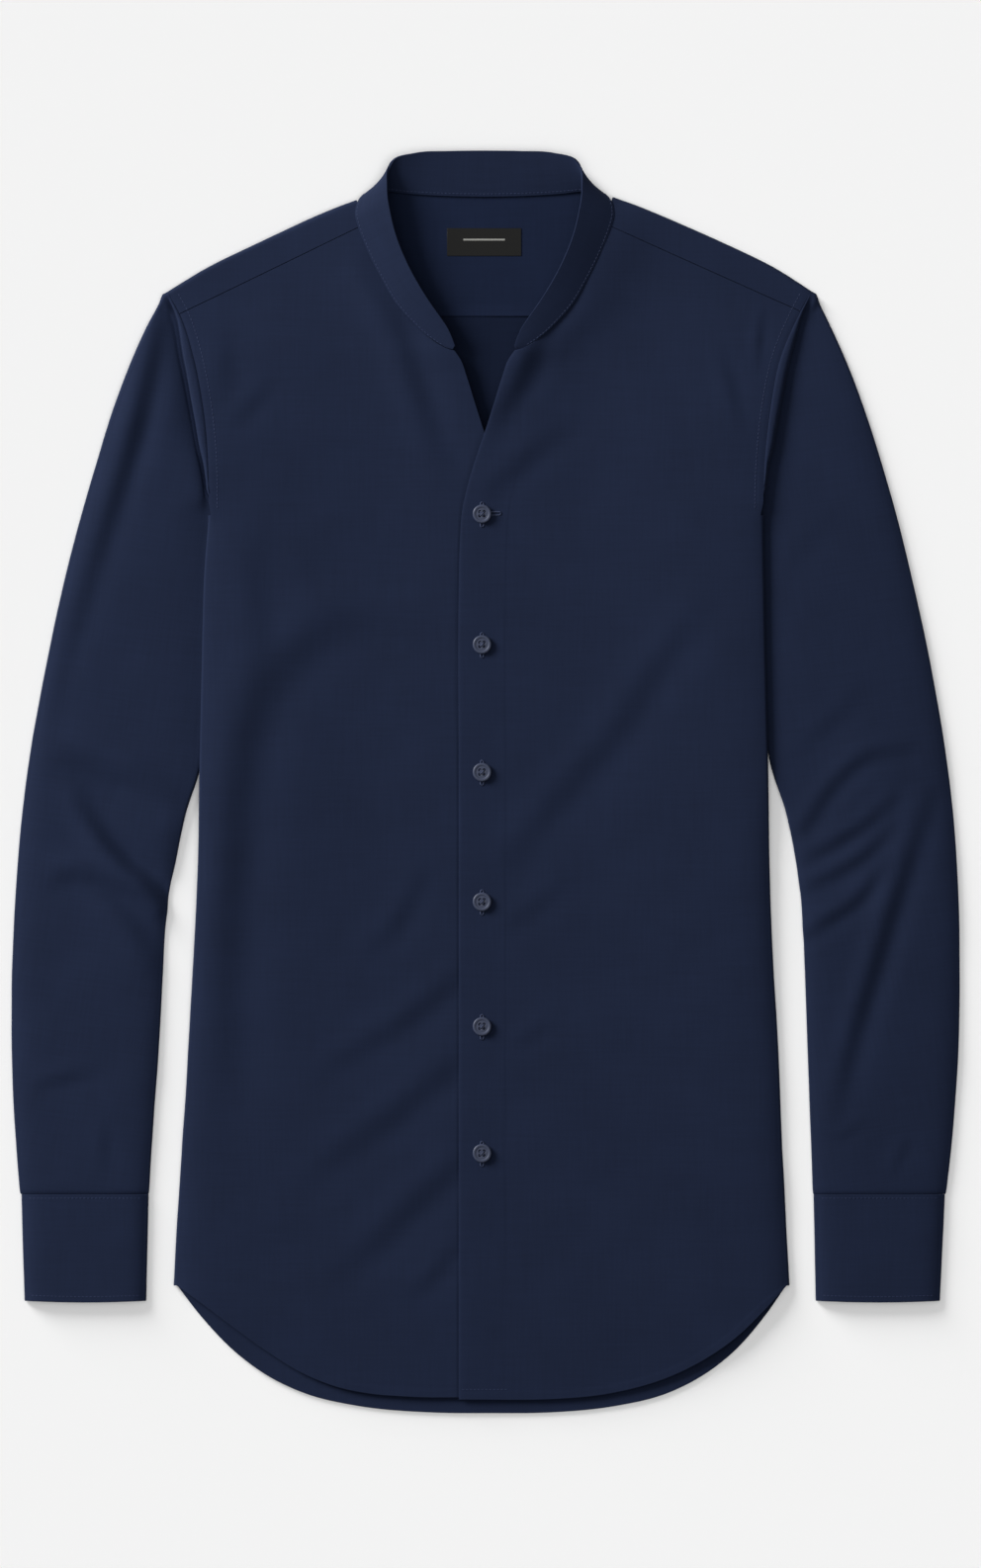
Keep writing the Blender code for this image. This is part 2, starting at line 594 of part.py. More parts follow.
def yoke(look):
    """Back sheet between the neck and the back, folded over both shoulders to the front seams."""
    back_y = YOKE_BACK_Y + SEAM_GAP / 2
    grids, corners = [], []
    for side in (RIGHT, LEFT):
        foot = np.array([SHOULDER[side][0][0], back_y])
        *made, corner = yoke_side(side, foot)
        grids += made
        corners.append((foot, corner, made[0][:, 0, :2]))
    (left_foot, left_top, left_column), (right_foot, right_top, right_column) = corners
    neck = np.array([row[:2] for row in COLLAR[:COLLAR_BACK]])
    arc = np.vstack([neck[:0:-1] * [-1, 1], neck]) + [COLLAR_X, -SEAM_GAP / 2]
    top = spread(curve([left_top, *arc, right_top]), even(YOKE_CENTRE_COLUMNS))
    foot = spread(np.array([left_foot, right_foot]), even(YOKE_CENTRE_COLUMNS))
    grids.append(raised(patch(foot, top, left_column, right_column), BACK_Z))
    return cloth("yoke", grids, CLOTH, look)


# ---------------------------------------------------------------- sleeves and cuffs


def tucked_edge(side):
    """Upper edge of a sleeve, under the front except at the shoulder, and the row of points after it."""
    shares = even(SLEEVE_TOP) ** SHOULDER_CLOSER
    arm = stretch(ARM_LINE[side], ARM_LINE[side][0, 1], UNDERARM_Y + ARM_TOP, shares)
    outward = side * plan_normals(arm)
    along = distances(arm)
    left = along[-1] - along
    tuck = LONG_SEAM_GAP - (LONG_SEAM_GAP + TUCK) * ease(along, TUCK_FROM, TUCK_TO)
    edge = arm + outward * tuck[:, None]
    z = front_height(edge[:, 0], edge[:, 1]) - TUCK_SINK * ease(along, 0.0, SINK_TO)
    z += (PRESSED_Z - z) * ease(left, LEVEL_FROM, LEVEL_TO)
    ring = arm + outward * (RING_OUT - (RING_OUT + RING_IN) * ease(left, RING_OVER, 0.0))[:, None]
    ring[-1, 1] -= RING_DROP
    return raised(edge, z), ring


def sleeve(side, name, look):
    """A flattened tube: its upper side, tucked under the front, its under side and both edge bends."""
    edge, near = tucked_edge(side)
    outer_edge = outline(SLEEVE_OUTER, side)
    outer_bend = outer_edge - side * FOLD_INSET * plan_normals(outer_edge)
    outer = spread(curve([near[0], *spread(outer_bend, even(SLEEVE_KNOTS))]), even(SLEEVE_ROWS))
    inner_edge = outline(SLEEVE_INNER, side)
    inner_drop = inner_radius(side, inner_edge) + CLOTH / 2
    inner_bend = inner_edge + np.column_stack([side * inner_drop, np.zeros(len(inner_edge))])
    inner = spread(curve([near[-1], *spread(inner_bend, even(SLEEVE_KNOTS))[1:]]), even(SLEEVE_ROWS))
    end = spread(np.array([outer[-1], inner[-1]]), even(SLEEVE_TOP))
    plan = patch(near, end, outer, inner)
    upper = raised(plan, sleeve_height(side, plan[..., 0], plan[..., 1]))
    upper = np.concatenate([edge[None], upper])

    back = back_armhole(side, even(SLEEVE_UNDER) ** SHOULDER_CLOSER, -SEAM_GAP / 2)
    back[0], back[-1] = upper[0, 0, :2], upper[0, -1, :2]
    under_end = spread(np.array([outer[-1], inner[-1]]), even(SLEEVE_UNDER))
    under = raised(patch(back, under_end, upper[:, 0, :2], upper[:, -1, :2]), BACK_Z)

    out_way = upper[:, 0, :2] - upper[:, 1, :2]
    in_way = upper[:, -1, :2] - upper[:, -2, :2]
    out_way[0] = out_way[1] = ARM_UP[side]
    in_way[:3] = (-side, 0)
    out_way /= np.linalg.norm(out_way, axis=1)[:, None]
    in_way /= np.linalg.norm(in_way, axis=1)[:, None]
    bends = [bend(upper[:, 0], under[:, 0], out_way), bend(upper[:, -1], under[:, -1], in_way)]
    return cloth(name, [upper, under, *bends], CLOTH, look)


def inner_radius(side, line):
    """Half the height of a sleeve along its inner edge."""
    return (sleeve_height(side, line[:, 0], line[:, 1]) - BACK_Z) / 2


def cuff(side, name, look):
    """A flattened tube, open at the hand."""
    columns = (1, 2) if side == RIGHT else (4, 3)
    inset = CUFF_CLOTH / 2 + (CUFF_Z - CUFF_CLOTH / 2) / 2
    outer = spread(curve([(row[columns[0]] - side * inset, row[0]) for row in CUFF]), even(CUFF_ROWS))
    inner = spread(curve([(row[columns[1]] + side * inset, row[0]) for row in CUFF]), even(CUFF_ROWS))
    near = spread(np.array([outer[0], inner[0]]), even(CUFF_COLUMNS))
    far = spread(np.array([outer[-1], inner[-1]]), even(CUFF_COLUMNS))
    far[:, 1] -= CUFF_SAG * np.sin(math.pi * even(CUFF_COLUMNS))
    plan = patch(near, far, outer, inner)
    upper, under = raised(plan, CUFF_Z), raised(plan, CUFF_CLOTH / 2)
    ways = [np.tile([direction, 0.0], (len(plan), 1)) for direction in (side, -side)]
    bends = [bend(upper[:, 0], under[:, 0], ways[0]), bend(upper[:, -1], under[:, -1], ways[1])]
    return cloth(name, [upper, under, *bends], CUFF_CLOTH, look)


# ---------------------------------------------------------------- collar, buttons, label


def collar(look):
    """A band from the neck seam to its top edge, lying back behind the neck and standing at the sides."""
    half = spread(curve(COLLAR), even(COLLAR_STATIONS))
    seam, top = half[:, :3].copy(), half[:, 3:]
    lean = top - seam
    flat = np.linalg.norm(lean[:, :2], axis=1)
    steep = lean[:, 2] / np.linalg.norm(lean, axis=1)
    clear = (COLLAR_CLEAR + COLLAR_CLOTH / 2 * steep) / flat
    seam[:, :2] += lean[:, :2] * clear[:, None]
    rows = even(COLLAR_ROWS)[:, None, None]
    grid = seam * (1 - rows) + top * rows
    mirrored = grid[:, :0:-1] * [-1, 1, 1]
    whole = np.concatenate([mirrored, grid], axis=1) + [COLLAR_X, 0, 0]
    return cloth("collar", [whole], COLLAR_CLOTH, look)


def button(number, y, look):
    """A turned button with a raised rim, its underside just clear of the cloth."""
    turn = np.linspace(0, 2 * math.pi, BUTTON_SIDES, endpoint=False)
    ring = np.column_stack([np.cos(turn), np.sin(turn), np.zeros(BUTTON_SIDES)])
    under = BUTTON_PROFILE[1][0] * ring + [BUTTON_X, y, 0]
    z = front_height(under[:, 0], under[:, 1]).max() + CLOTH / 2 + BUTTON_LIFT
    rings = [ring * radius + [BUTTON_X, y, z + height] for radius, height in BUTTON_PROFILE]
    points = np.concatenate(rings)
    index = np.arange(len(points)).reshape(len(rings), BUTTON_SIDES)
    wrapped = np.roll(index, -1, axis=1)
    sides = np.stack([index[:-1], wrapped[:-1], wrapped[1:], index[1:]], axis=-1).reshape(-1, 4)
    faces = sides.tolist() + [index[0, ::-1].tolist(), index[-1].tolist()]
    made = mesh_object(f"button_{number}", points, faces, look)
    made.data.set_sharp_from_angle(angle=SHARP)
    return made


def label(look):
    """The neck label, on the yoke's inner face."""
    corners = np.array([(x, y, z) for z in (0, 1) for y in (-0.5, 0.5) for x in (-0.5, 0.5)])
    points = corners * LABEL_SIZE + [*LABEL_CENTRE, CLOTH + SEAM_GAP]
    faces = [(0, 2, 3, 1), (4, 5, 7, 6), (0, 1, 5, 4), (1, 3, 7, 5), (3, 2, 6, 7), (2, 0, 4, 6)]
    made = mesh_object("label", points, faces, look)
    made.data.set_sharp_from_angle(angle=SHARP)
    return made


def main():
    for old in list(bpy.data.objects):
        bpy.data.objects.remove(old)
    navy = material("navy_cotton", NAVY, 0.85)
    navy_collar = material("navy_cotton_collar", NAVY_LIGHT, 0.82)
    navy_cuff = material("navy_cotton_cuff", NAVY_LIGHT, 0.82)
    buttons = material("navy_button", BUTTON_NAVY, 0.35)
    black = material("black_satin", LABEL_BLACK, 0.5)

    back_panel(navy)
    yoke(navy)
    front(RIGHT, "front_right", under_height, navy)
    front(LEFT, "front_left", front_height, navy)
    for side, wearer in ((RIGHT, "right"), (LEFT, "left")):
        sleeve(side, f"sleeve_{wearer}", navy)
        cuff(side, f"cuff_{wearer}", navy_cuff)
    collar(navy_collar)
    for number, y in enumerate(BUTTON_YS, 1):
        button(number, y, buttons)
    label(black)


if __name__ == "__main__":
    main()
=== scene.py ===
"""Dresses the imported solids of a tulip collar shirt, buttoned and laid flat, in navy cotton.

World: metres, +Z up from the surface that the shirt lies on, +Y towards the collar, and the wearer's left at
+X. Tables and formulas below are in millimetres. Outlines are as seen from straight above, and heights are
those of the middle of the cloth's wall.
"""

import math

import bmesh
import bpy
import numpy as np
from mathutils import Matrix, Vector


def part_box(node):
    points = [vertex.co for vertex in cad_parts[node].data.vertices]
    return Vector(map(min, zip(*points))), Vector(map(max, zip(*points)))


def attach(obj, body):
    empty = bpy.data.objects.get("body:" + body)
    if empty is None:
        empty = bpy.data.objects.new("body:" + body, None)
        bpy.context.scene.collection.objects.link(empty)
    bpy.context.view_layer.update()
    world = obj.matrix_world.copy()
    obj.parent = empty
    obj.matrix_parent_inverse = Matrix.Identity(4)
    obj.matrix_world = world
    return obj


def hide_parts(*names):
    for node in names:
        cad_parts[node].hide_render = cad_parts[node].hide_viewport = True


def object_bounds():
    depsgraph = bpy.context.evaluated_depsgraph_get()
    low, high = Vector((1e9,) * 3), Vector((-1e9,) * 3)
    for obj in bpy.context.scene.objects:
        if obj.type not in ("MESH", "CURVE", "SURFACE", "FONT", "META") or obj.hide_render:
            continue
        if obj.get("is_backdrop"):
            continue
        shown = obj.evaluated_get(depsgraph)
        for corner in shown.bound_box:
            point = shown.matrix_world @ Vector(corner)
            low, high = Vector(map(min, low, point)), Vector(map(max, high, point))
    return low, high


bl_info = {
    "name": "Tulip collar shirt, laid flat",
    "version": (1, 0, 0),
    "blender": (4, 5, 0),
    "location": "3D View > Sidebar > Shirt",
    "description": "Cloth, seams, buttons and label of a shirt, over its packed solids",
    "category": "Object",
}

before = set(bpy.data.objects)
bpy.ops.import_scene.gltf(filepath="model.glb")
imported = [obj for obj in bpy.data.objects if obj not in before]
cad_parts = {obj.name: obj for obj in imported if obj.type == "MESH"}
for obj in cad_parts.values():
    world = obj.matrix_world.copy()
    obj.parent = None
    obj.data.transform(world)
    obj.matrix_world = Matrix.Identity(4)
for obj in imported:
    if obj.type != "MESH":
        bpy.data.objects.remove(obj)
CAD_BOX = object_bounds()

MM = 0.001
RIGHT, LEFT = -1, 1  # the wearer's sides, and the sign of their X
SIDES = ((RIGHT, "right"), (LEFT, "left"))

# ---------------------------------------------------------------- outlines, as in the part's source

BODY_X = -2.2  # the body's centre line
COLLAR_X = -0.6  # the collar's centre line

# Half of the collar, from the centre back to the front end. Distances are from COLLAR_X.
# Columns: seam across, seam y, seam z, top edge across, top edge y, top edge z
COLLAR = (
    (0.0, 366.5, 1.8, 0.0, 395.6, 10.5),
    (23.6, 367.0, 1.8, 22.0, 395.3, 11.0),
    (47.1, 368.3, 1.9, 43.4, 394.0, 13.5),
    (62.0, 369.8, 2.3, 57.2, 389.5, 16.5),
    (71.3, 369.5, 3.2, 60.5, 382.0, 18.4),
    (78.1, 365.8, 4.8, 60.8, 374.8, 19.4),
    (81.5, 355.9, 6.3, 60.4, 364.9, 20.0),
    (79.7, 347.8, 6.8, 59.0, 357.1, 20.2),
    (74.3, 333.9, 7.0, 55.9, 344.1, 20.0),
    (64.1, 313.5, 7.3, 47.7, 323.6, 18.8),
    (55.6, 299.3, 7.6, 40.3, 310.0, 17.4),
    (46.1, 288.4, 7.9, 33.1, 298.8, 15.8),
    (37.5, 280.3, 8.2, 27.0, 290.2, 14.2),
    (29.0, 274.3, 8.6, 22.6, 283.3, 12.6),
    (22.4, 271.2, 8.9, 19.5, 275.9, 11.0),
    (20.2, 270.8, 9.0, 18.6, 273.2, 10.3),
)
COLLAR_BACK = 4  # rows of COLLAR along the back of the neck
COLLAR_FRONT = (6, 15)  # rows of COLLAR along the front's neck edge, from the yoke on
NECK_END = (18.9, 270.3)

# Free front edge of either front. Columns: across from COLLAR_X towards the front's own side, y
FRONT_EDGE = (
    NECK_END,
    (14.9, 264.5),
    (11.2, 254.2),
    (5.4, 235.6),
    (0.0, 218.9),
    (-5.2, 203.6),
    (-9.9, 188.2),
    (-13.7, 171.7),
    (-15.4, 150.0),
    (-16.1, 118.4),
    (-16.1, 0.0),
    (-16.1, -387.0),
)

# Outline of the shoulder fold, from the neck to the armhole. Columns: x, y
SHOULDER = {
    RIGHT: ((-80.8, 364.6), (-109.1, 353.0), (-142.0, 338.1), (-173.2, 323.2), (-199.3, 307.4)),
    LEFT: ((79.8, 366.6), (114.1, 353.2), (148.2, 338.4), (179.6, 323.2), (204.0, 307.8)),
}
YOKE_FRONT_Y = {RIGHT: (347.5, 293.3), LEFT: (348.1, 295.0)}  # at the neck and at the armhole
YOKE_BACK_Y = 293.6
YOKE_LAP, YOKE_LAP_RISE = 1.5, 0.85  # the yoke laps that far over the back, and lies that much higher there
YOKE_UNDER_COLLAR = 2.4  # it reaches that far under the collar's foot
YOKE_NECK_Y = 357.5  # middle of the yoke's short edge along the neck

# Front armhole, from the yoke's front seam down to the underarm. Columns: x, y
ARMHOLE = {
    RIGHT: (
        (-191.6, 293.3), (-182.9, 266.6), (-177.3, 238.1), (-174.2, 210.2), (-173.3, 181.7),
        (-173.4, 165.0),
    ),
    LEFT: (
        (197.2, 295.0), (184.6, 265.4), (178.3, 235.0), (175.2, 207.0), (174.0, 181.0),
        (173.8, 165.0),
    ),
}
UNDERARM_Y = 167.0
NECK_ROW_ARM_Y = 245.0  # where the row of points from the neck's front end meets the armhole
ARM_FOOT = 6.0  # the front's armhole ends this far above the side fold
BACK_ARM_FOOT = 16.0  # the back's armhole bends into the side seam this far above the underarm

# Outline of the body below the underarm. Columns: y, x at the wearer's right, x at the wearer's left
BODY_SIDES = (
    (165.0, -173.4, 173.8),
    (131.0, -176.0, 174.3),
    (87.0, -177.3, 175.2),
    (13.0, -178.6, 176.8),
    (-61.0, -179.8, 177.9),
    (-111.0, -182.3, 179.8),
    (-161.0, -185.4, 182.9),
    (-210.0, -188.5, 184.8),
    (-260.0, -192.0, 187.2),
    (-319.0, -195.4, 190.4),
)
SIDE_END_Y = -315.5  # where the side fold stops and the hem begins

# Front hems, from the free edge out to the side. Columns: x, y
FRONT_HEM = {
    RIGHT: (
        (15.5, -385.2), (-52.1, -385.0), (-73.2, -383.2), (-93.6, -378.9), (-114.7, -370.4),
        (-135.2, -357.9), (-156.2, -342.9), (-176.7, -327.4),
    ),
    LEFT: (
        (-16.7, -387.0), (43.4, -386.6), (66.0, -384.9), (88.7, -380.9), (111.0, -374.4),
        (133.7, -363.8), (156.2, -348.6), (173.6, -332.0),
    ),
}
# Back hem. Columns: x, y
BACK_HEM = (
    (-193.0, -316.2), (-178.6, -334.6), (-154.6, -359.2), (-138.2, -371.2), (-111.6, -383.8),
    (-79.4, -391.2), (-34.0, -395.2), (3.0, -395.6), (40.0, -395.2), (81.2, -391.2), (112.2, -383.8),
    (136.8, -371.6), (153.2, -359.2), (175.0, -334.8), (188.8, -316.2),
)

# Outline of the sleeves' outer edges. Columns: y, x at the wearer's right, x at the wearer's left
SLEEVE_OUTER = (
    (293.3, -208.3, 212.7),
    (273.4, -217.6, 222.0),
    (223.8, -236.2, 240.6),
    (174.2, -251.1, 255.4),
    (124.6, -264.1, 267.8),
    (75.0, -274.7, 278.4),
    (25.4, -284.0, 287.1),
    (-24.2, -290.6, 293.3),
    (-73.8, -294.5, 296.2),
    (-123.4, -296.6, 297.0),
    (-173.0, -296.6, 295.9),
    (-222.6, -294.3, 292.3),
    (-258.2, -291.3, 288.2),
)
# Outline of the sleeves' inner edges, hidden under the body as far as y = 10
SLEEVE_INNER = (
    (162.0, -167.6, 167.6),
    (87.4, -172.2, 170.4),
    (44.0, -175.2, 173.2),
    (6.0, -179.2, 179.6),
    (-11.8, -185.4, 186.0),
    (-36.6, -191.4, 192.0),
    (-61.4, -196.3, 196.3),
    (-86.2, -200.4, 198.6),
    (-111.0, -201.8, 199.8),
    (-160.6, -204.5, 201.7),
    (-210.2, -208.2, 203.6),
    (-258.2, -211.4, 205.6),
)

# Cuffs. Columns: y, outer x and inner x at the wearer's right, inner x and outer x at the wearer's left
CUFF = (
    (-258.4, -290.8, -211.2, 205.6, 287.9),
    (-290.0, -290.0, -211.9, 206.2, 286.4),
    (-325.2, -288.9, -212.7, 206.9, 284.8),
)
CUFF_SAG = 0.9  # how far the middle of the cuff's lower edge reaches below its corners

# ---------------------------------------------------------------- heights and layers

BACK_Z = 0.4  # the under layer's
FRONT_Z = 4.4
CUFF_Z = 5.2
# The trough that the body presses into a sleeve next to its edge.
# Columns: y, height, reach of its outer flank, how much higher than the front the sleeve lies beyond
TROUGH = {
    RIGHT: (
        (160.0, 3.0, 13.0, 0.5), (178.0, 2.3, 3.0, 0.5), (200.0, 1.9, 3.5, 0.6), (216.0, 1.7, 7.0, 1.2),
        (236.0, 1.6, 9.0, 2.2), (285.0, 1.6, 10.0, 2.2), (306.0, 1.6, 11.0, 0.0),
    ),
    LEFT: (
        (150.0, 3.0, 34.0, 0.5), (200.0, 2.5, 34.0, 0.5), (225.0, 2.1, 34.0, 0.5), (250.0, 2.0, 34.0, 0.5),
        (307.0, 2.0, 34.0, 0.0),
    ),
}
FLANK_START = {RIGHT: 1.6, LEFT: 2.8}  # how far outside the strip the flank begins
HEAD_BLEND = 6.0  # the sleeve takes that far to leave the head's height
LEAST_Z = 1.5  # a sleeve's upper side stays above its under side
CUFF_SEAM = (0.8, 0.7)  # how deep the sleeve dips at the cuff's seam, and how soon
# How the right front passes under the left one: it sinks in two steps.
# Columns: distances from the upper front's edge between which it sinks, how far
OVERLAP = ((-1.6, -0.2, 0.3), (0.0, 6.0, 1.1))
UNDER_CREASES = (-2.0, 4.0)  # distances from that edge between which its creases end
EDGE_DROP, EDGE_REACH = 2.8, 6.0  # the roll of the cloth down to a fold at the edge
ARM_DROP, ARM_REACH = 0.22, 1.3  # the same of the front and the yoke at the armhole seam
ROLL_BLEND = 6.0  # one roll turns into the other that far above and below the underarm
SIDE_DROP = {RIGHT: (1.6, 2.4), LEFT: (1.4, 2.8)}  # the same of the body, over the sleeve and below it
CUFF_DROP, CUFF_REACH = 2.4, 5.0
HEM_SINK = 0.6  # the fronts lie lower towards their hems
SINK_FROM_HEM, SINK_FROM_SIDE = (2.0, 45.0), (10.0, 60.0)  # distances between which that ends, and begins

# Height of the cloth above FRONT_Z along the neck and front edges. Columns: y, rise
NECK_RISE = (
    (130.0, 0.0), (171.0, 0.3), (188.0, 0.6), (204.0, 1.0), (219.0, 1.5), (236.0, 2.3), (254.0, 3.3),
    (270.0, 4.5), (280.0, 3.8), (299.0, 3.2), (324.0, 2.8), (348.0, 2.4), (356.0, 1.9), (367.0, 0.0),
)
NECK_ROUND = 1.0  # width of the round at the centre line, where the distance from the neck turns over
NECK_BLEND = (-12.0, -8.0, -4.0, 0.0, 4.0, 8.0, 12.0)  # shifts of y over which its half width is a mean
NECK_FALL = {RIGHT: 34.0, LEFT: 26.0}  # how far out from the neck the rise reaches
# Height that the sleeve beneath gives to the front's and the back's side edges. Columns: y, front, back
SIDE_LIFT = (
    (-318.0, 1.3, 0.0), (-170.0, 1.4, 0.0), (-110.0, 1.9, 0.8), (-50.0, 2.9, 2.4), (2.0, 3.6, 3.6),
    (188.0, 3.6, 3.6), (200.0, 3.6, 1.4), (212.0, 3.5, 0.0), (235.0, 3.0, 0.0), (265.0, 2.2, 0.0),
    (290.0, 0.8, 0.0), (306.0, 0.0, 0.0),
)
LIFT_FLAT = 9.0  # from the edge inwards the lift stays level that far
LIFT_END = {1: 120.0, 2: 45.0}  # and has gone this far in, in the front and in the back
BACK_INSET = 9.2  # how much further in the back armhole lies than the front one
BACK_INSET_OVER = 70.0  # length of armhole from the shoulder over which it reaches that
SEAM_GAP = 0.12
YOKE_GAP = 0.3  # at the yoke's front seams
COLLAR_CLEAR = 0.35  # from the neck seam's line to the collar's wall
NECK_LAP, NECK_LAP_OVER = 0.7, 12.0  # how far the cloth reaches in under the collar's foot, and how soon
COLLAR_SINK = 0.45  # its foot lies lower behind the neck
COLLAR_SINK_Y = (350.0, 366.0)  # values of y between which it sinks
COLLAR_SETTLE = 0.5  # the collar sinks to this share of its height above its seam
COLLAR_BOW = 0.2  # how far the collar swells outward between its seam and its top edge

# The sleeve's head: a strip outside the armhole seam stays level with the front, then the cloth drops into
# a trough. Columns: y, width of the strip
STRIP = (
    (165.0, 0.0), (177.0, 0.1), (188.0, 0.8), (199.0, 2.0), (211.0, 4.0), (224.0, 5.0), (245.5, 5.8),
    (266.0, 5.3), (276.0, 4.4), (286.0, 2.8), (293.0, 1.6), (306.0, 0.8),
)
# Rows of points across the strip. Columns: share of its width, further distance, shares of the front's
# height above the trough at the wearer's right and left, drop below that
HEAD_ROWS = (
    (0.0, -3.0, 1.0, 1.0, 1.2),
    (0.0, -0.9, 1.0, 1.0, 1.2),
    (0.0, -0.1, 1.0, 1.0, 0.72),
    (0.0, 0.4, 1.0, 1.0, 0.16),
    (0.3, 0.4, 1.0, 1.0, 0.05),
    (0.6, 0.2, 1.0, 0.99, 0.0),
    (0.85, 0.0, 0.98, 0.94, 0.0),
    (1.0, 0.0, 0.92, 0.82, 0.0),
    (1.0, 0.4, 0.45, 0.62, 0.0),
    (1.0, 0.7, 0.06, 0.38, 0.0),
    (1.0, 1.2, 0.0, 0.18, 0.0),
    (1.0, 2.0, 0.04, 0.06, 0.0),
    (1.0, 2.8, 0.1, 0.0, 0.0),
)
TUCK = (7.0, 28.0)  # lengths along the armhole from the shoulder between which the sleeve's edge goes in
TUCK_SPREAD = 0.1  # what keeps the tucked rows apart
UNDER_IN = 5.0  # how far inside the outline it lies at the underarm
UNDER_OVER = 14.0  # length of armhole from the underarm over which it gets there
UNDER_DROP = 4.0  # how far the last row of the head ends below the first there
UNDER_LOW = (11.2, 2.8)  # lengths from the underarm between which the head sinks to the trough
ARM_TOP = 3.0  # the sleeve's edge ends this far above the underarm
PRESS_BELOW = (-45.0, 5.0)  # values of y between which the body starts to press the sleeve
PRESS_ABOVE = (-1.0, -12.0)  # the same from the shoulder tip down
SHOULDER_CLOSER = 1.3  # above 1, points along an armhole lie closer together towards the shoulder
SLEEVE_CLOSER = 1.15  # the same of the rows down a sleeve
LAST_ROW = 0.9982  # share of the sleeve's length where its last row but one lies, 1 mm from the cuff
SLEEVE_GRAIN = 8.0  # degrees that a sleeve's grain is turned

# Creases. The cloth steps down across each, away from the light, with a swell above and a dip below it.
# Columns: points of the step, half width, depths at even steps along it
FRONT_CREASES = {
    RIGHT: (
        (
            ((-19, 81), (-63, 100), (-106, 91), (-130, 69), (-146, 40), (-154, -6), (-159, -68), (-162, -130),
             (-164, -223)),
            13, (0.3, 1.1, 1.9, 2.5, 2.7, 2.6, 2.2, 1.5, 0.4),
        ),
        (((-141, 158), (-144, 120), (-141, 92), (-146, 62)), 10, (0.2, 0.9, 1.3, 0.4)),
        (((-40, -60), (-54, -87), (-79, -112)), 7, (0.5, 1.1, 0.1)),
        (((-19, -124), (-42, -144), (-82, -169), (-109, -188)), 7.5, (0.9, 1.4, 0.9, 0.2)),
        (((-24, -181), (-58, -209), (-88, -231), (-116, -254)), 9, (1.3, 1.5, 1.1, 0.2)),
        (((-19, -242), (-44, -265), (-69, -289), (-100, -316)), 9, (1.3, 1.5, 1.1, 0.2)),
        (((-21, -294), (-33, -310), (-49, -324)), 6, (0.6, 0.8, 0.1)),
        (
            ((-75, 319), (-61, 297), (-53, 280), (-47, 261), (-43, 249), (-38, 233), (-32, 215), (-24, 198)),
            8, (0.8, 1.7, 1.9, 2.0, 2.0, 1.7, 1.2, 0.5),
        ),
        (((-164, 288), (-163, 266), (-160, 236)), 8, (0.1, 1.1, 0.2)),
        (((-135, 250), (-146, 236), (-160, 222)), 6, (0.2, 0.9, 0.2)),
    ),
    LEFT: (
        (
            ((52, 311), (41, 295), (33, 280), (27, 261), (20, 247), (10, 230), (5, 218)),
            7, (0.6, 1.4, 1.9, 2.1, 1.9, 1.3, 0.4),
        ),
        (((56, 224), (30, 206), (5, 184)), 7, (0.2, 1.1, 0.6)),
        (((147, 270), (154, 246), (159, 224)), 5, (0.2, 0.9, 0.3)),
        (((173, 292), (172, 280), (171, 262)), 3.5, (0.3, 0.8, 0.2)),
        (((135, 107), (102, 63), (79, 26), (48, -7), (30, -30), (16, -48)), 9, (0.4, 1.2, 1.4, 1.4, 1.2, 0.6)),
        (((50, -64), (33, -77), (16, -89)), 6, (0.2, 0.8, 0.3)),
        (((42, -153), (30, -158), (22, -163)), 5, (0.2, 0.7, 0.3)),
    ),
}
SLEEVE_CREASES = {
    RIGHT: (
        (
            ((-202, 298), (-208, 267), (-218, 224), (-231, 180), (-244, 140), (-256, 100), (-267, 62), (-273, 30)),
            7, (1.6, 2.6, 3.0, 2.4, 1.6, 1.1, 0.7, 0.3),
        ),
        (((-279, 13), (-257, 14), (-230, 4), (-204, -11)), 9, (0.1, 2.0, 3.2, 1.2)),
        (
            ((-258, -2), (-249, -21), (-238, -37), (-225, -51), (-211, -63), (-201, -75)),
            6.5, (0.2, 2.0, 4.2, 5.4, 5.3, 3.0),
        ),
        (((-275, -62), (-260, -58), (-246, -60), (-232, -67), (-220, -76)), 6.5, (0.2, 1.7, 2.0, 1.7, 0.4)),
        (((-245, -60), (-232, -75), (-219, -91), (-208, -109)), 7.5, (0.6, 2.2, 2.4, 1.0)),
        (((-278, -189), (-261, -185), (-247, -183)), 5, (0.6, 1.1, 0.4)),
        (((-239, -211), (-239, -229), (-238, -244)), 4.5, (0.1, 0.5, 0.2)),
    ),
    LEFT: (
        (((219, 165), (194, 143), (186, 113)), 7, (0.2, 0.9, 0.4)),
        (((235, 56), (215, 37), (194, 18)), 6.5, (0.3, 1.1, 0.6)),
        (((264, 20), (240, 16), (217, -3), (200, -28)), 5.5, (0.7, 1.9, 2.2, 1.4)),
        (((256, -10), (239, -26), (223, -36), (203, -47)), 5, (0.6, 1.5, 1.7, 0.8)),
        (((254, -28), (236, -47), (219, -57), (201, -66)), 5, (0.6, 1.5, 1.5, 0.8)),
        (((250, -52), (232, -75), (214, -87), (201, -96)), 5, (0.5, 1.4, 1.6, 0.9)),
        (
            ((278, -9), (270, -34), (258, -70), (247, -107), (236, -143), (227, -175), (220, -208)),
            6.5, (0.8, 1.6, 2.4, 2.4, 2.2, 1.6, 0.4),
        ),
        (((210, -219), (222, -222), (236, -215)), 4, (0.2, 0.6, 0.2)),
        (((265, -223), (261, -232), (256, -244)), 4, (0.1, 0.5, 0.2)),
    ),
}
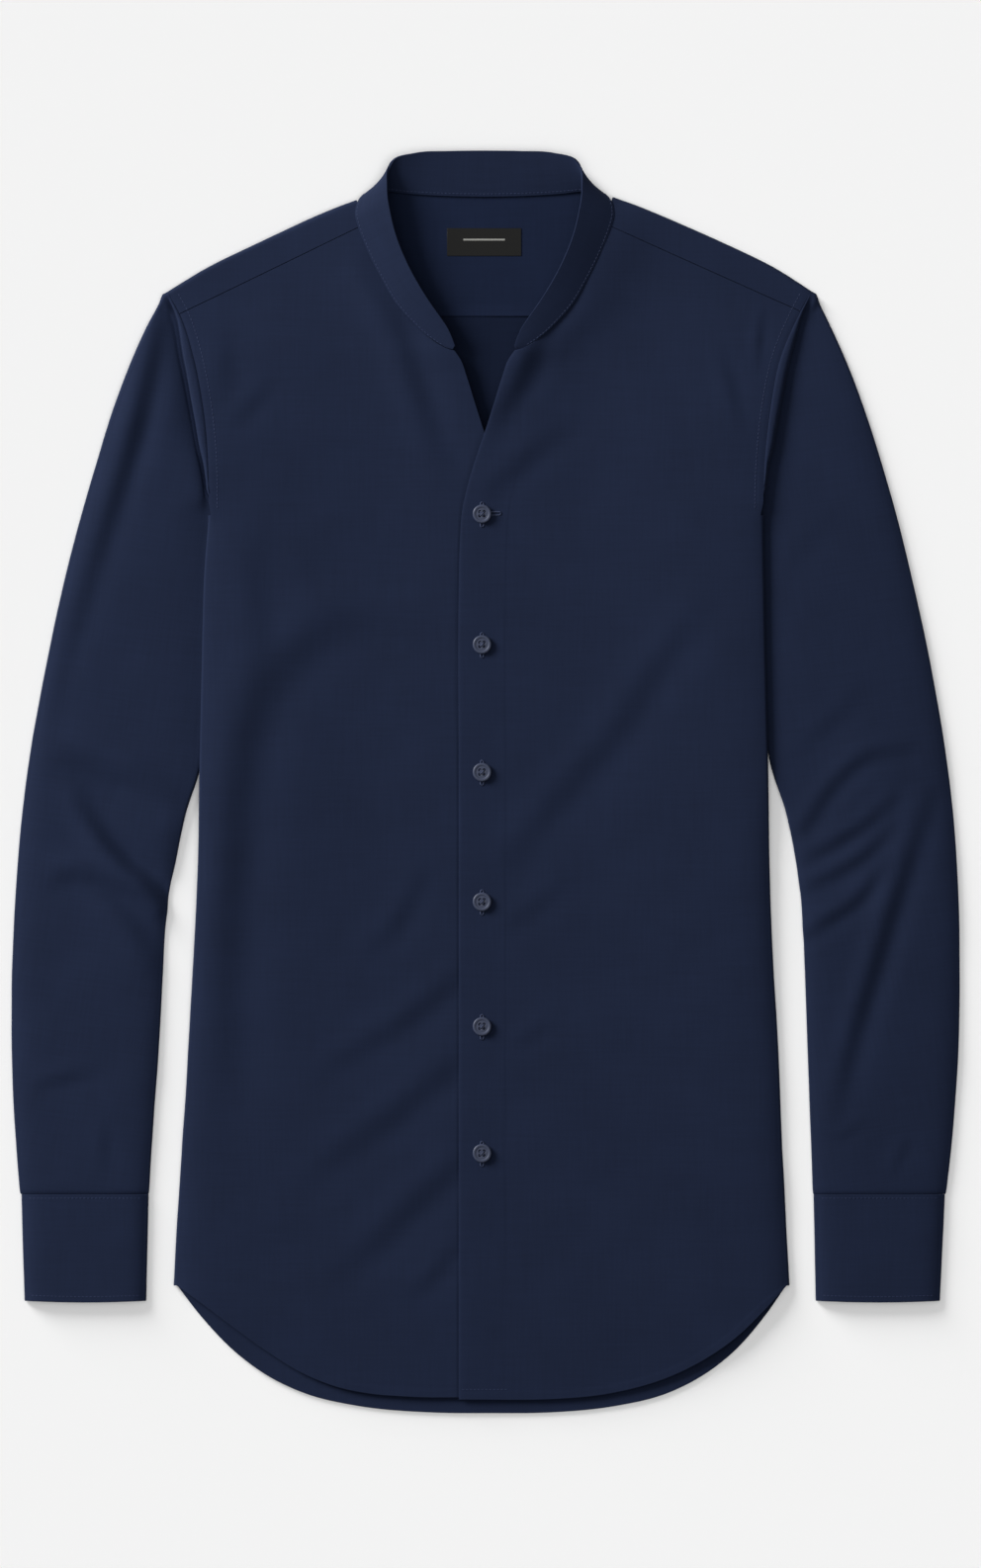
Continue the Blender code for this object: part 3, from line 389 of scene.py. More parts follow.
# Slow unevenness of cloth that was pressed and then handled: waves in many directions
WAVES = 14
WAVE_LENGTHS = (26.0, 90.0)
WAVE_HEIGHT = 0.10
SLEEVE_WAVE_HEIGHT, CUFF_WAVE_HEIGHT = 0.13, 0.05
FRONT_SEED, BACK_SEED, SLEEVE_SEED, CUFF_SEED = 3, 5, 11, 21
SWELL = 0.6  # how far a crease's swell and its dip each depart from the cloth, as a share of its depth

# ---------------------------------------------------------------- sewing

PLACKET_WIDTH = 29.0
PLACKET_RISE, PLACKET_STEP = 0.35, 0.1  # the front is three layers thick over the placket
PLACKET_THINS = (5.0, 27.0)  # distances from its edge between which it comes down
PLACKET_TOP = (150.0, 215.0)  # values of y between which it flattens out
PLACKET_DROP, PLACKET_REACH = 0.25, 0.7  # the roll at its free edge
HEM_WIDTH, HEM_RISE = 4.6, 0.12
STEP_SLOPE = 0.5  # half the width of the slope where a turned-in layer ends
HEM_SHOWS = 0.0  # below this y the inside of the back is finished like its outside
BACK_CURL, CURL_SPAN = 0.7, (3.0, 40.0)  # the back hem stands off the surface, and where that ends
YOKE_LAP_SPAN = (0.2, 4.0)  # distances above the lap between which the yoke comes down
ARMHOLE_STITCH_IN, ARMHOLE_STITCH_END = 5.3, 4.0  # from the seam, and from its ends
PLACKET_END_STITCH = (-15.0, 14.0, -380.6)  # x from, x to, y
CUFF_STITCHES = (0.035, 0.945)  # shares of a cuff's depth
THREAD_OVER = -0.02  # from the cloth's face up to a stitch's middle
# A stitch. Columns: share of its pitch from its middle, share of the thread's radius
STITCH = ((-0.36, 0.3), (-0.24, 1.0), (0.24, 1.0), (0.36, 0.3))
ROW_ENDS = {"collar": 6, "cuff": 2}  # points of the cloth's grid without a stitch at either end of a row

BUTTON_X = -2.2
BUTTON_YS = (168.0, 86.2, 6.2, -75.0, -153.1, -232.5)
# Turned profile of a button, over its face and round its rim. Columns: radius, height above its underside
BUTTON_PROFILE = (
    (3.1, 1.66), (3.4, 1.58), (3.7, 1.58), (4.0, 1.72), (4.4, 1.90), (4.9, 2.0), (5.3, 1.95), (5.65, 1.75),
    (5.87, 1.40), (5.87, 1.00), (5.7, 0.60), (5.3, 0.25), (4.7, 0.04), (3.6, 0.0), (1.8, 0.0),
)
BUTTON_FACE, BUTTON_FACE_Z = 2.9, 1.68  # radius and height of the level middle
HOLE_OFFSET, HOLE_RADIUS, HOLE_FLOOR = 1.4, 0.82, 0.15
HOLE_WALL = (-0.14, 0.08)  # where a hole's wall ends and begins, from its radius
CROSS_RISE, CROSS_BOW, CROSS_APART, CROSS_RADIUS = 0.3, 0.75, 0.1, 0.27  # the thread over a button's holes
BUTTONHOLE = (16.4, 2.9)  # length and width over the thread
HOLE_SHIFT, TAIL_SHIFT, TAIL_LENGTH = -0.4, (7.0, 0.3), 0.62  # the last is a share of the loop's length
TWIST_RADIUS, TWIST_RIB, TWIST_RIBS, TWIST_OVER = 0.42, 0.06, 60, 0.05
LOOP_INSET = 0.45  # from the loop's outside to the middle of its thread
LOOP_STRAIGHT = 4  # how straight the loop's long sides are
LABEL_CENTRE = (-0.9, 338.6)
LABEL_SIZE = (46.5, 17.4, 0.28)
LABEL_OVER = 0.1  # its gap over the yoke
LINE_SIZE, LINE_UP, LINE_SINK = (26.0, 1.1, 0.12), 1.5, 0.05  # the woven line on it

# Steps of the grids
FINE = 300  # along an outline that is cut up again
BACK_ACROSS, BACK_CHEST, BODY_DOWN = 96, 50, 190
NECK_DOWN, CHEST_DOWN = 32, 34
YOKE_SHOULDER, YOKE_DOWN, YOKE_FRONT, YOKE_NECK = 60, 24, 16, 70
SLEEVE_ACROSS, SLEEVE_DOWN, SLEEVE_EDGE, UNDER_ACROSS = 64, 220, 14, 24
CUFF_ACROSS, CUFF_DOWN = 56, 44
COLLAR_HALF, COLLAR_UP = 150, 16
BUTTON_RINGS, BUTTON_SPOKES, LOOP_POINTS = 20, 64, 240

# ---------------------------------------------------------------- finishes, stage and light

REVERSE_AND_SHADE, LINING_SHADE = 0.66, 0.88  # brightness of the cloth's wrong side, part its duller finish and part painted shade inside the shirt, and of the yoke's inner layer, which is painted shade
WEAVE_PITCH = 0.0006  # metres from thread to thread
SLUB_SCALE = 700.0  # slubs to a metre across the threads
SLUB_STRETCH = 0.04  # how much fewer they are along them
NAP = "#c3d3ff"
# The plain finishes. Columns: colour setting, roughness, specular, unevenness of tone, its grains to a metre
PLAIN = {
    # Spun and dyed sewing thread: matt, with a soft gleam along it
    "spun_polyester_thread": ("thread", 0.6, 0.3, 0.12, 900.0),
    "buttonhole_twist": ("twist", 0.6, 0.3, 0.12, 900.0),
    # Cast and tumbled resin: half glossy, so a button's rim catches the light
    "dyed_polyester_resin": ("button", 0.42, 0.4, 0.06, 350.0),
    # Woven ribbon: dark, with a low gleam, and its pale yarn a little duller
    "black_satin_ribbon": ("label", 0.5, 0.25, 0.1, 900.0),
    "pale_woven_yarn": ("mark", 0.7, 0.2, 0.1, 900.0),
    # Uncoated paper: even and without gleam
    "matt_paper": ("floor", 0.95, 0.05, 0.0, 900.0),
}

FLOOR_SIZE = 12.0
CAMERA_CENTRE = (3.1, -1.2)
CAMERA_HEIGHT = 6.0
SENSOR = 36.0
PICTURE_HEIGHT = 0.9833  # what the picture's long side spans on the surface, in metres
KEY_DISTANCE = 4.0  # so near that the shirt grows a little darker away from it
# Lamps. Columns: name, kind, its setting, width in degrees as seen from the shirt, elevation, azimuth, what it lights
LAMPS = (
    ("key_light", "AREA", "key", 26, 24, 149, "all_but_ground"),
    ("ground_light", "SUN", "ground", 28, 16, 132, "ground"),
    ("ground_fill", "SUN", "ground_fill", 60, 80, -48, "ground"),
    ("top_light", "SUN", "top", 80, 80, 135, None),
)


# ---------------------------------------------------------------- lines and grids


def unit(vectors):
    """Vectors of length 1 in the same directions."""
    return vectors / np.linalg.norm(vectors, axis=-1, keepdims=True)


def cubic(t, start, end, leaving, arriving):
    """Cubic from a start to an end over t from 0 to 1, with its slopes there."""
    return (
        (2 * t**3 - 3 * t**2 + 1) * start + (t**3 - 2 * t**2 + t) * leaving
        + (3 * t**2 - 2 * t**3) * end + (t**3 - t**2) * arriving
    )


def curve(points, steps=20):
    """Dense smooth line through points: cubic pieces, with the slope at a point from its two chords."""
    points = np.asarray(points, float)
    chords = np.diff(points, axis=0)
    lengths = np.linalg.norm(chords, axis=1)[:, None]
    slopes = chords / lengths
    inner = (slopes[:-1] * lengths[1:] + slopes[1:] * lengths[:-1]) / (lengths[:-1] + lengths[1:])
    slopes = np.vstack([slopes[:1], inner, slopes[-1:]])
    t = np.linspace(0, 1, steps, endpoint=False)[:, None]
    pieces = [
        cubic(t, points[i], points[i + 1], slopes[i] * lengths[i], slopes[i + 1] * lengths[i])
        for i in range(len(lengths))
    ]
    return np.vstack([*pieces, points[-1:]])


def distances(line):
    """Length along a line up to each of its points."""
    return np.r_[0, np.cumsum(np.linalg.norm(np.diff(line, axis=0), axis=1))]


def spread(line, shares):
    """Points at these shares of a line's length."""
    length = distances(line)
    at = np.asarray(shares) * length[-1]
    return np.column_stack([np.interp(at, length, column) for column in line.T])


def between(start, end, shares):
    """Points at these shares of the way from one point to another."""
    return spread(np.array([start, end]), shares)


def even(count):
    """Shares from 0 to 1 at equal steps."""
    return np.linspace(0, 1, count + 1)


def stepped(*stops):
    """Shares from 0 to 1, in runs of equal steps. Each stop is where a run ends and how many steps it has."""
    runs, start = [np.zeros(1)], 0.0
    for end, steps in stops:
        runs.append(np.linspace(start, end, steps + 1)[1:])
        start = end
    return np.concatenate(runs) / start


def x_at(line, y):
    """x of a line at height y, where its y only rises or only falls."""
    order = np.argsort(line[:, 1])
    return np.interp(y, line[order, 1], line[order, 0])


def stretch(line, y_from, y_to, shares):
    """The part of a line between two values of y, sampled at shares of its length."""
    y = np.linspace(y_from, y_to, 400)
    return spread(np.column_stack([x_at(line, y), y]), shares)


def plan_normals(line):
    """Unit vectors across a line, to the left of its direction."""
    along = unit(np.gradient(line, axis=0))
    return np.column_stack([-along[:, 1], along[:, 0]])


def patch(near, far, first, last, u=None, v=None):
    """Grid between four lines in plan: the two ruled surfaces added, less the one between the corners."""
    u = (even(len(near) - 1) if u is None else u)[None, :, None]
    v = (even(len(first) - 1) if v is None else v)[:, None, None]
    rows = (1 - v) * near[None] + v * far[None]
    columns = (1 - u) * first[:, None] + u * last[:, None]
    corners = (1 - v) * ((1 - u) * near[0] + u * near[-1]) + v * ((1 - u) * far[0] + u * far[-1])
    return rows + columns - corners


def raised(plan, height):
    """A plan grid with its heights."""
    return np.concatenate([plan, np.broadcast_to(height, plan.shape[:-1])[..., None]], axis=-1)


def lifted(plan, height, above=0.0):
    """A plan grid or line on a function's heights, or above them."""
    return raised(plan, height(plan[..., 0], plan[..., 1]) + above)


def bend(upper, lower, outward, steps=8):
    """Grid round a half circle from an upper line to the lower line beneath it."""
    angles = math.pi * even(steps)[None, :, None]
    middle = (upper + lower)[:, None] / 2
    radius = (upper[:, 2] - lower[:, 2])[:, None, None] / 2
    sideways = np.column_stack([outward, np.zeros(len(outward))])[:, None]
    return middle + radius * (np.sin(angles) * sideways + np.cos(angles) * np.array([0, 0, 1.0]))


def near_line(line, x, y):
    """Distance from points to a line in plan, positive on its left, and the share of its length nearest them."""
    length = distances(line)
    best = np.full(np.shape(x), np.inf)
    share, side = np.zeros(np.shape(x)), np.ones(np.shape(x))
    for i, (start, way) in enumerate(zip(line[:-1], np.diff(line, axis=0))):
        dx, dy = x - start[0], y - start[1]
        t = np.clip((dx * way[0] + dy * way[1]) / (way @ way), 0, 1)
        away = np.hypot(dx - t * way[0], dy - t * way[1])
        closer = away < best
        best = np.where(closer, away, best)
        share = np.where(closer, (length[i] + t * (length[i + 1] - length[i])) / length[-1], share)
        side = np.where(closer, np.where(way[0] * dy - way[1] * dx < 0, -1.0, 1.0), side)
    return best * side, share


# ---------------------------------------------------------------- heights


def ease(value, start, end):
    """0 before start, 1 after end, and smooth between."""
    share = np.clip((value - start) / (end - start), 0, 1)
    return share * share * (3 - 2 * share)


def edge_roll(away, drop=EDGE_DROP):
    """Drop of the cloth at a distance from its folded edge."""
    return drop * np.exp(-np.abs(away) / EDGE_REACH)


def side_drop(x, y):
    """Drop of the front at the body's folded edge."""
    over, free = (np.where(x < BODY_X, SIDE_DROP[RIGHT][i], SIDE_DROP[LEFT][i]) for i in (0, 1))
    return free + (over - free) * ease(y, *PRESS_BELOW)


def table_at(table, column, value):
    """A table's column at a value of its first column, smooth and with no overshoot between the rows."""
    at, known = np.array(table)[:, 0], np.array(table)[:, column]
    steps, rises = np.diff(at), np.diff(known) / np.diff(at)
    level = rises[:-1] * rises[1:] <= 0
    mean = 2 * rises[:-1] * rises[1:] / np.where(level, 1, rises[:-1] + rises[1:])
    slopes = np.r_[0, np.where(level, 0, mean), 0]
    value = np.clip(value, at[0], at[-1])
    i = np.clip(np.searchsorted(at, value) - 1, 0, len(steps) - 1)
    t = (value - at[i]) / steps[i]
    return cubic(t, known[i], known[i + 1], slopes[i] * steps[i], slopes[i + 1] * steps[i])


def crease_depth(creases, x, y):
    """Sum over the creases: depth along each, times the slope of a bell across it.

    Past an end the crease runs straight on and fades, so that it never stops short.
    """
    total = np.zeros(np.shape(x))
    for path, half_width, depths in creases:
        line = spread(curve(path), even(24))
        away, share = near_line(line, x, y)
        past = np.zeros(np.shape(x))
        for end, inner, at_end in ((line[0], line[1], share <= 0), (line[-1], line[-2], share >= 1)):
            way = unit(end - inner)
            past = np.where(at_end, np.maximum((x - end[0]) * way[0] + (y - end[1]) * way[1], 0), past)
        falls = 1 if (line[-1] - line[0]).sum() < 0 else -1  # the side on which the cloth steps down
        across = falls * np.sign(away) * np.sqrt(np.maximum(away**2 - past**2, 0)) / half_width
        depth = np.interp(share, even(len(depths) - 1), depths) * np.exp(-((past / half_width) ** 2))
        total += SWELL * depth * across * np.exp((1 - across**2) / 2)
    return total * bpy.context.scene.shirt_sizes.crease_depth


def waves(x, y, seed, height=WAVE_HEIGHT):
    """Sum of sine waves with seeded directions, lengths and starts, each as high as it is long, scaled so that
    the root of the mean square is the height.
    """
    draw = np.random.default_rng(seed)
    turn = draw.uniform(0, math.pi, WAVES)
    length = np.exp(draw.uniform(*np.log(WAVE_LENGTHS), WAVES))
    start = draw.uniform(0, 2 * math.pi, WAVES)
    total = np.zeros(np.shape(x))
    for a, l, s in zip(turn, length, start):
        total += l * np.sin(2 * math.pi * (x * math.cos(a) + y * math.sin(a)) / l + s)
    return total * height / np.sqrt((length**2).sum() / 2)


def outline(table, side):
    """Smooth line of one side, from a table of y, x at the wearer's right, x at the wearer's left."""
    return curve([(row[1 if side == RIGHT else 2], row[0]) for row in table])


def wall():
    """The cloth's thickness in millimetres."""
    return bpy.context.scene.shirt_sizes.cloth_wall / MM


WALL = 0.7  # the thickness that the outlines are drawn for
EDGE_ROUND = 0.32  # width of the round at a wall's edge, as a share of its thickness
EDGE_ANGLE, SLAB_ANGLE = 50, 40  # degrees from which an edge of the cloth is rounded, and one of a slab sharp
FOLD_RADIUS = (FRONT_Z - BACK_Z) / 2
NECK_SEAM = curve([row[:2] for row in COLLAR[COLLAR_FRONT[0] - 1 : COLLAR_FRONT[1]]] + [NECK_END])
FREE_EDGE = curve(FRONT_EDGE)
SHOULDER_TIP = {side: np.array(SHOULDER[side][-1]) for side, _ in SIDES}
# From the front yoke seam's outer end towards the shoulder tip
ARM_UP = {side: unit(SHOULDER_TIP[side] - ARMHOLE[side][0]) for side, _ in SIDES}
# From the bend over the shoulder down past the underarm
ARM_LINE = {
    side: curve([SHOULDER_TIP[side] - (FOLD_RADIUS + WALL / 2) * ARM_UP[side], *ARMHOLE[side]])
    for side, _ in SIDES
}
SIDE_LINE = {side: outline(BODY_SIDES, side) for side, _ in SIDES}
BODY_LINE = {
    side: np.vstack([ARM_LINE[side][ARM_LINE[side][:, 1] > BODY_SIDES[0][0]], SIDE_LINE[side]])
    for side, _ in SIDES
}
HEM_LINE = {side: curve([*FRONT_HEM[side], SIDE_LINE[side][-1]]) for side, _ in SIDES}


def inward(x, y):
    """Distance from the nearer armhole or side outline towards the body's centre line."""
    return np.where(x < BODY_X, x - x_at(BODY_LINE[RIGHT], y), x_at(BODY_LINE[LEFT], y) - x)


def side_lift(column, x, y):
    """What the sleeve beneath adds at the sides: the table's height along y, eased to nothing inwards."""
    return table_at(SIDE_LIFT, column, y) * (1 - ease(inward(x, y), LIFT_FLAT, LIFT_END[column]))


def back_height(x, y):
    """The back: level, and lifted over the sleeves' inner edges."""
    return BACK_Z + side_lift(2, x, y)


def neck_half_width(y):
    """From COLLAR_X to the neck seam or to the free edge, and nothing below where the edges cross.

    It is the mean over a few millimetres of y, as the two lines meet at an angle.
    """
    total = 0
    for shift in NECK_BLEND:
        edge = np.maximum(x_at(FREE_EDGE, y + shift), 0)
        total += np.where(y + shift > NECK_END[1], x_at(NECK_SEAM, y + shift), edge)
    return total / len(NECK_BLEND)


def front_height(x, y):
    """The fronts and the yoke's front: raised at the neck and over the sleeves, rolled at the sides."""
    from_edge = np.hypot(x - COLLAR_X, NECK_ROUND) - neck_half_width(y)
    fall = np.where(x < COLLAR_X, NECK_FALL[RIGHT], NECK_FALL[LEFT])
    rise = table_at(NECK_RISE, 1, y) * np.exp(-((from_edge / fall) ** 2))
    below = 1 - ease(y, UNDERARM_Y - ROLL_BLEND, UNDERARM_Y + ROLL_BLEND)
    roll = below * edge_roll(inward(x, y), side_drop(x, y))
    roll += ARM_DROP * (1 - below) * np.exp(-((inward(x, y) / ARM_REACH) ** 2))
    return FRONT_Z + rise + side_lift(1, x, y) - roll + waves(x, y, FRONT_SEED)


def turned_in(away, width):
    """1 over a turned-in layer of this width and 0 beyond it, with a short slope between."""
    return 1 - ease(away, width - STEP_SLOPE, width + STEP_SLOPE)


def hem_rise(side, x, y):
    """The turned-up hem is thicker, and the front sinks towards it except at the side fold."""
    away = np.abs(near_line(HEM_LINE[side], x, y)[0])
    sink = HEM_SINK * (1 - ease(away, *SINK_FROM_HEM)) * ease(inward(x, y), *SINK_FROM_SIDE)
    return HEM_RISE * turned_in(away, HEM_WIDTH) - sink


def left_height(x, y):
    """The left front, thicker over its placket and its hem."""
    across = x - (COLLAR_X + x_at(FREE_EDGE, y))
    placket = PLACKET_RISE * (1 - ease(across, *PLACKET_THINS))
    placket += PLACKET_STEP * turned_in(across, PLACKET_WIDTH)
    placket *= 1 - ease(y, *PLACKET_TOP)
    placket -= PLACKET_DROP * np.exp(-np.abs(across) / PLACKET_REACH)
    return front_height(x, y) + placket + hem_rise(LEFT, x, y) - crease_depth(FRONT_CREASES[LEFT], x, y)


def right_height(x, y):
    """The right front, which passes under the left one."""
    over_edge = COLLAR_X + x_at(FREE_EDGE, y)
    z = front_height(x, y) - sum(drop * ease(x - over_edge, *span) for *span, drop in OVERLAP)
    z -= crease_depth(FRONT_CREASES[RIGHT], x, y) * (1 - ease(x - over_edge, *UNDER_CREASES))
    return np.maximum(z, back_height(x, y) + WALL + SEAM_GAP) + hem_rise(RIGHT, x, y)


FRONT_HEIGHT = {RIGHT: right_height, LEFT: left_height}


def trough_z(side, y):
    """Height of the bottom of a sleeve's trough."""
    return table_at(TROUGH[side], 1, y)


def sleeve_height(side, x, y):
    """Upper side of a sleeve, in a trough along the armhole and under the body, and rolled at both edges."""
    away, _ = near_line(BODY_LINE[side], x, y)
    strip = table_at(STRIP, 1, y) + FLANK_START[side]
    pressed = ease(y, *PRESS_BELOW) * ease(y - SHOULDER_TIP[side][1], *PRESS_ABOVE)
    close = pressed * np.exp(-np.maximum(side * away - strip, 0) / table_at(TROUGH[side], 2, y))
    rolled = np.maximum(*(
        edge_roll(near_line(outline(table, side), x, y)[0]) for table in (SLEEVE_OUTER, SLEEVE_INNER)
    ))
    free = FRONT_Z + table_at(TROUGH[side], 3, y) - rolled * (1 - close)
    free += waves(x, y, SLEEVE_SEED + side, SLEEVE_WAVE_HEIGHT) - crease_depth(SLEEVE_CREASES[side], x, y)
    free -= CUFF_SEAM[0] * np.exp(np.minimum(SLEEVE_OUTER[-1][0] - y, 0) / CUFF_SEAM[1])
    return np.maximum(free * (1 - close) + trough_z(side, y) * close, LEAST_Z)


# ---------------------------------------------------------------- objects


def mesh_object(name, points, faces, look):
    """A smooth-shaded mesh in world metres, its object at the origin."""
    mesh = bpy.data.meshes.new(name)
    mesh.from_pydata((np.asarray(points) * MM).tolist(), [], faces)
    mesh.materials.append(look)
    mesh.shade_smooth()
    made = bpy.data.objects.new(name, mesh)
    bpy.context.scene.collection.objects.link(made)
    return made


def grid_faces(rows, columns, start=0):
    """Corner numbers of the faces of a grid of points."""
    index = start + np.arange(rows * columns).reshape(rows, columns)
    corners = (index[:-1, :-1], index[1:, :-1], index[1:, 1:], index[:-1, 1:])
    return np.stack(corners, axis=-1).reshape(-1, 4)


def face_outward(made, up=None):
    """Turns a closed mesh's faces outward, or an open one's so that its first face looks up or down."""
    shell = bmesh.new()
    shell.from_mesh(made.data)
    bmesh.ops.recalc_face_normals(shell, faces=shell.faces)
    shell.faces.ensure_lookup_table()
    if up is not None and (shell.faces[0].normal.z > 0) != up:
        bmesh.ops.reverse_faces(shell, faces=shell.faces)
    shell.to_mesh(made.data)
    shell.free()


def add_bevel(made, width):
    """A round of two segments at a piece's edges, this wide in millimetres."""
    edge = made.modifiers.new("edges", "BEVEL")
    edge.width = width * MM
    edge.segments = 2
    return edge


def sheet_area(points, faces):
    """Area of quads, each half the length of the cross product of its diagonals, in square metres."""
    a, b, c, d = (points[faces[:, i]] for i in range(4))
    return np.linalg.norm(np.cross(c - a, d - b), axis=1).sum() / 2 * MM * MM


def cloth(name, grids, thickness, look, turn=0.0, grain=None, inside_with_shade=None, face_up=True):
    """One wall through grids of points that share their edges, with the cloth's grain as its UV map.

    The grain is the plan turned by an angle, or given point by point, in metres. The first grid's right side
    faces up or down, and the wall's other side can have a darker inside finish that carries painted shade.
    """
    starts = np.cumsum([0, *(grid.shape[0] * grid.shape[1] for grid in grids)])
    points = np.concatenate([grid.reshape(-1, 3) for grid in grids])
    faces = np.concatenate([grid_faces(*grid.shape[:2], start) for grid, start in zip(grids, starts)])
    _, first, shared = np.unique(np.round(points, 4), axis=0, return_index=True, return_inverse=True)
    faces = shared.reshape(-1)[faces]
    made = mesh_object(name, points[first], faces.tolist(), look)
    face_outward(made, face_up)
    if grain is None:
        turned = np.array([[math.cos(turn), -math.sin(turn)], [math.sin(turn), math.cos(turn)]])
        grain = points[:, :2] * MM @ turned
    along = grain.reshape(-1, 2)
    corner = np.empty(len(made.data.loops), np.int32)
    made.data.loops.foreach_get("vertex_index", corner)
    layer = made.data.uv_layers.new(name="grain")
    layer.data.foreach_set("uv", along[first][corner].astype(np.float32).ravel())
    thick = made.modifiers.new("wall", "SOLIDIFY")
    thick.thickness = thickness * MM
    thick.offset = 0
    thick.use_rim = True
    if inside_with_shade:
        made.data.materials.append(inside_with_shade)
        thick.material_offset = 1
    edge = add_bevel(made, EDGE_ROUND * thickness)
    edge.limit_method = "ANGLE"
    edge.angle_limit = math.radians(EDGE_ANGLE)
    edge.harden_normals = True
    made["cut_area"] = float(sheet_area(points[first], faces))
    return made


def tubes(name, lines, radii, sides, look, closed=False):
    """Tubes along many lines of equally many points: rings across each line, as wide as radii say."""
    lines = np.asarray(lines, float)
    if closed:
        way = np.roll(lines, -1, axis=1) - np.roll(lines, 1, axis=1)
    else:
        way = np.gradient(lines, axis=1)
    way = unit(way)
    across = unit(np.cross(way, [0, 0, 1.0]))
    upward = np.cross(across, way)
    turn = np.linspace(0, 2 * math.pi, sides, endpoint=False)[:, None]
    ring = np.cos(turn) * across[:, :, None] + np.sin(turn) * upward[:, :, None]
    points = lines[:, :, None] + ring * np.asarray(radii)[None, :, None, None]
    count, length = lines.shape[:2]
    index = np.arange(count * length * sides).reshape(count, length, sides)
    index = np.concatenate([index, index[:, :, :1]], axis=2)
    if closed:
        index = np.concatenate([index, index[:, :1]], axis=1)
    corners = (index[:, :-1, :-1], index[:, :-1, 1:], index[:, 1:, 1:], index[:, 1:, :-1])
    faces = np.stack(corners, axis=-1).reshape(-1, 4).tolist()
    if not closed:
        faces += index[:, 0, -2::-1].tolist() + index[:, -1, :-1].tolist()
    made = mesh_object(name, points.reshape(-1, 3), faces, look)
    face_outward(made)
    return made


def stitches(name, rows, look):
    """Stitches along rows: each a spindle over two thirds of its pitch, half sunk in the cloth."""
    sizes = bpy.context.scene.shirt_sizes
    pitch, radius = sizes.stitch_pitch / MM, sizes.thread_width / MM / 2
    shape = np.array(STITCH).T
    lines = []
    for row in rows:
        length = distances(row)
        count = max(int(length[-1] / pitch), 1)
        centres = (np.arange(count)[:, None] + 0.5) / count
        at = centres + shape[0] / count
        lines.append(np.stack([np.interp(at * length[-1], length, column) for column in row.T], axis=-1))
    return tubes(name, np.concatenate(lines), shape[1] * radius, 6, look)


def on_cloth(line, height, over=THREAD_OVER):
    """A line in plan, laid on the cloth's upper face or a little over it."""
    return lifted(line, height, wall() / 2 + over)


def settle(piece, *nodes, slot=None):
    """The piece rides the shirt and stands for these solids."""
    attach(piece, "root")
    if nodes:
        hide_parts(*nodes)
    return piece


# ---------------------------------------------------------------- body


def neck_line(side, y_from, y_to, shares):
    """Part of the neck seam on one side."""
    line = stretch(NECK_SEAM, y_from, y_to, shares)
    lap = NECK_LAP * ease(line[:, 1], NECK_END[1], NECK_END[1] + NECK_LAP_OVER)
    return np.column_stack([COLLAR_X + side * (line[:, 0] - lap), line[:, 1]])


def free_edge(side, y_from, y_to, shares):
    """Part of a front's free edge."""
    line = stretch(FREE_EDGE, y_from, y_to, shares)
    return np.column_stack([COLLAR_X + side * line[:, 0], line[:, 1]])


def fold_start(side, y_from, y_to, shares):
    """Where the side fold's bend starts: inside the body's outline by the bend's radius and half the wall."""
    line = stretch(SIDE_LINE[side], y_from, y_to, shares)
    lift = table_at(SIDE_LIFT, 1, line[:, 1]) - table_at(SIDE_LIFT, 2, line[:, 1])
    line[:, 0] -= side * ((FRONT_Z - side_drop(*line.T) + lift - BACK_Z) / 2 + WALL / 2)
    return line


NECK_SHARES, CHEST_SHARES = even(NECK_DOWN), even(CHEST_DOWN)
BODY_SHARES = 1 - (1 - even(BODY_DOWN)) ** 1.4  # closer together towards the hem
FRONT_SHARES = stepped((3.0, 6), (25.0, 11), (32.5, 13), (182.0, 74), (190.0, 7))  # across, from the free edge


def front(side, name, height, look):
    """A front: its panel from the yoke to the hem, then round the side fold to the side seam."""
    neck_y, arm_y = np.array(YOKE_FRONT_Y[side]) - YOKE_GAP / 2
    hem = FRONT_HEM[side]
    edge = np.vstack([
        neck_line(side, neck_y, NECK_END[1], NECK_SHARES),
        free_edge(side, NECK_END[1], UNDERARM_Y, CHEST_SHARES)[1:],
        free_edge(side, UNDERARM_Y, hem[0][1], BODY_SHARES)[1:],
    ])
    outer = np.vstack([
        stretch(ARM_LINE[side], arm_y, NECK_ROW_ARM_Y, NECK_SHARES),
        stretch(ARM_LINE[side], NECK_ROW_ARM_Y, UNDERARM_Y + ARM_FOOT, CHEST_SHARES)[1:-1],
        fold_start(side, UNDERARM_Y, SIDE_END_Y, BODY_SHARES),
    ])
    top = between(edge[0], outer[0], FRONT_SHARES)
    bottom = spread(curve([edge[-1], *hem[1:], outer[-1]]), FRONT_SHARES)
    rows = distances(edge)
    panel = lifted(patch(top, bottom, edge, outer, FRONT_SHARES, rows / rows[-1]), height)
    upper = panel[-len(BODY_SHARES) :, -1]
    lower = lifted(upper[:, :2], back_height)
    outward = np.tile([side, 0.0], (len(upper), 1))
    return cloth(name, [panel, bend(upper, lower, outward)], wall(), look)


def back_armhole(side, shares, extra):
    """Back armhole, further in than the front one except at the shoulder, moved in by extra."""
    line = stretch(ARM_LINE[side], ARM_LINE[side][0, 1], UNDERARM_Y, shares)
    inset = BACK_INSET * ease(distances(line), 0.0, BACK_INSET_OVER) + extra
    return line - side * inset[:, None] * plan_normals(line)


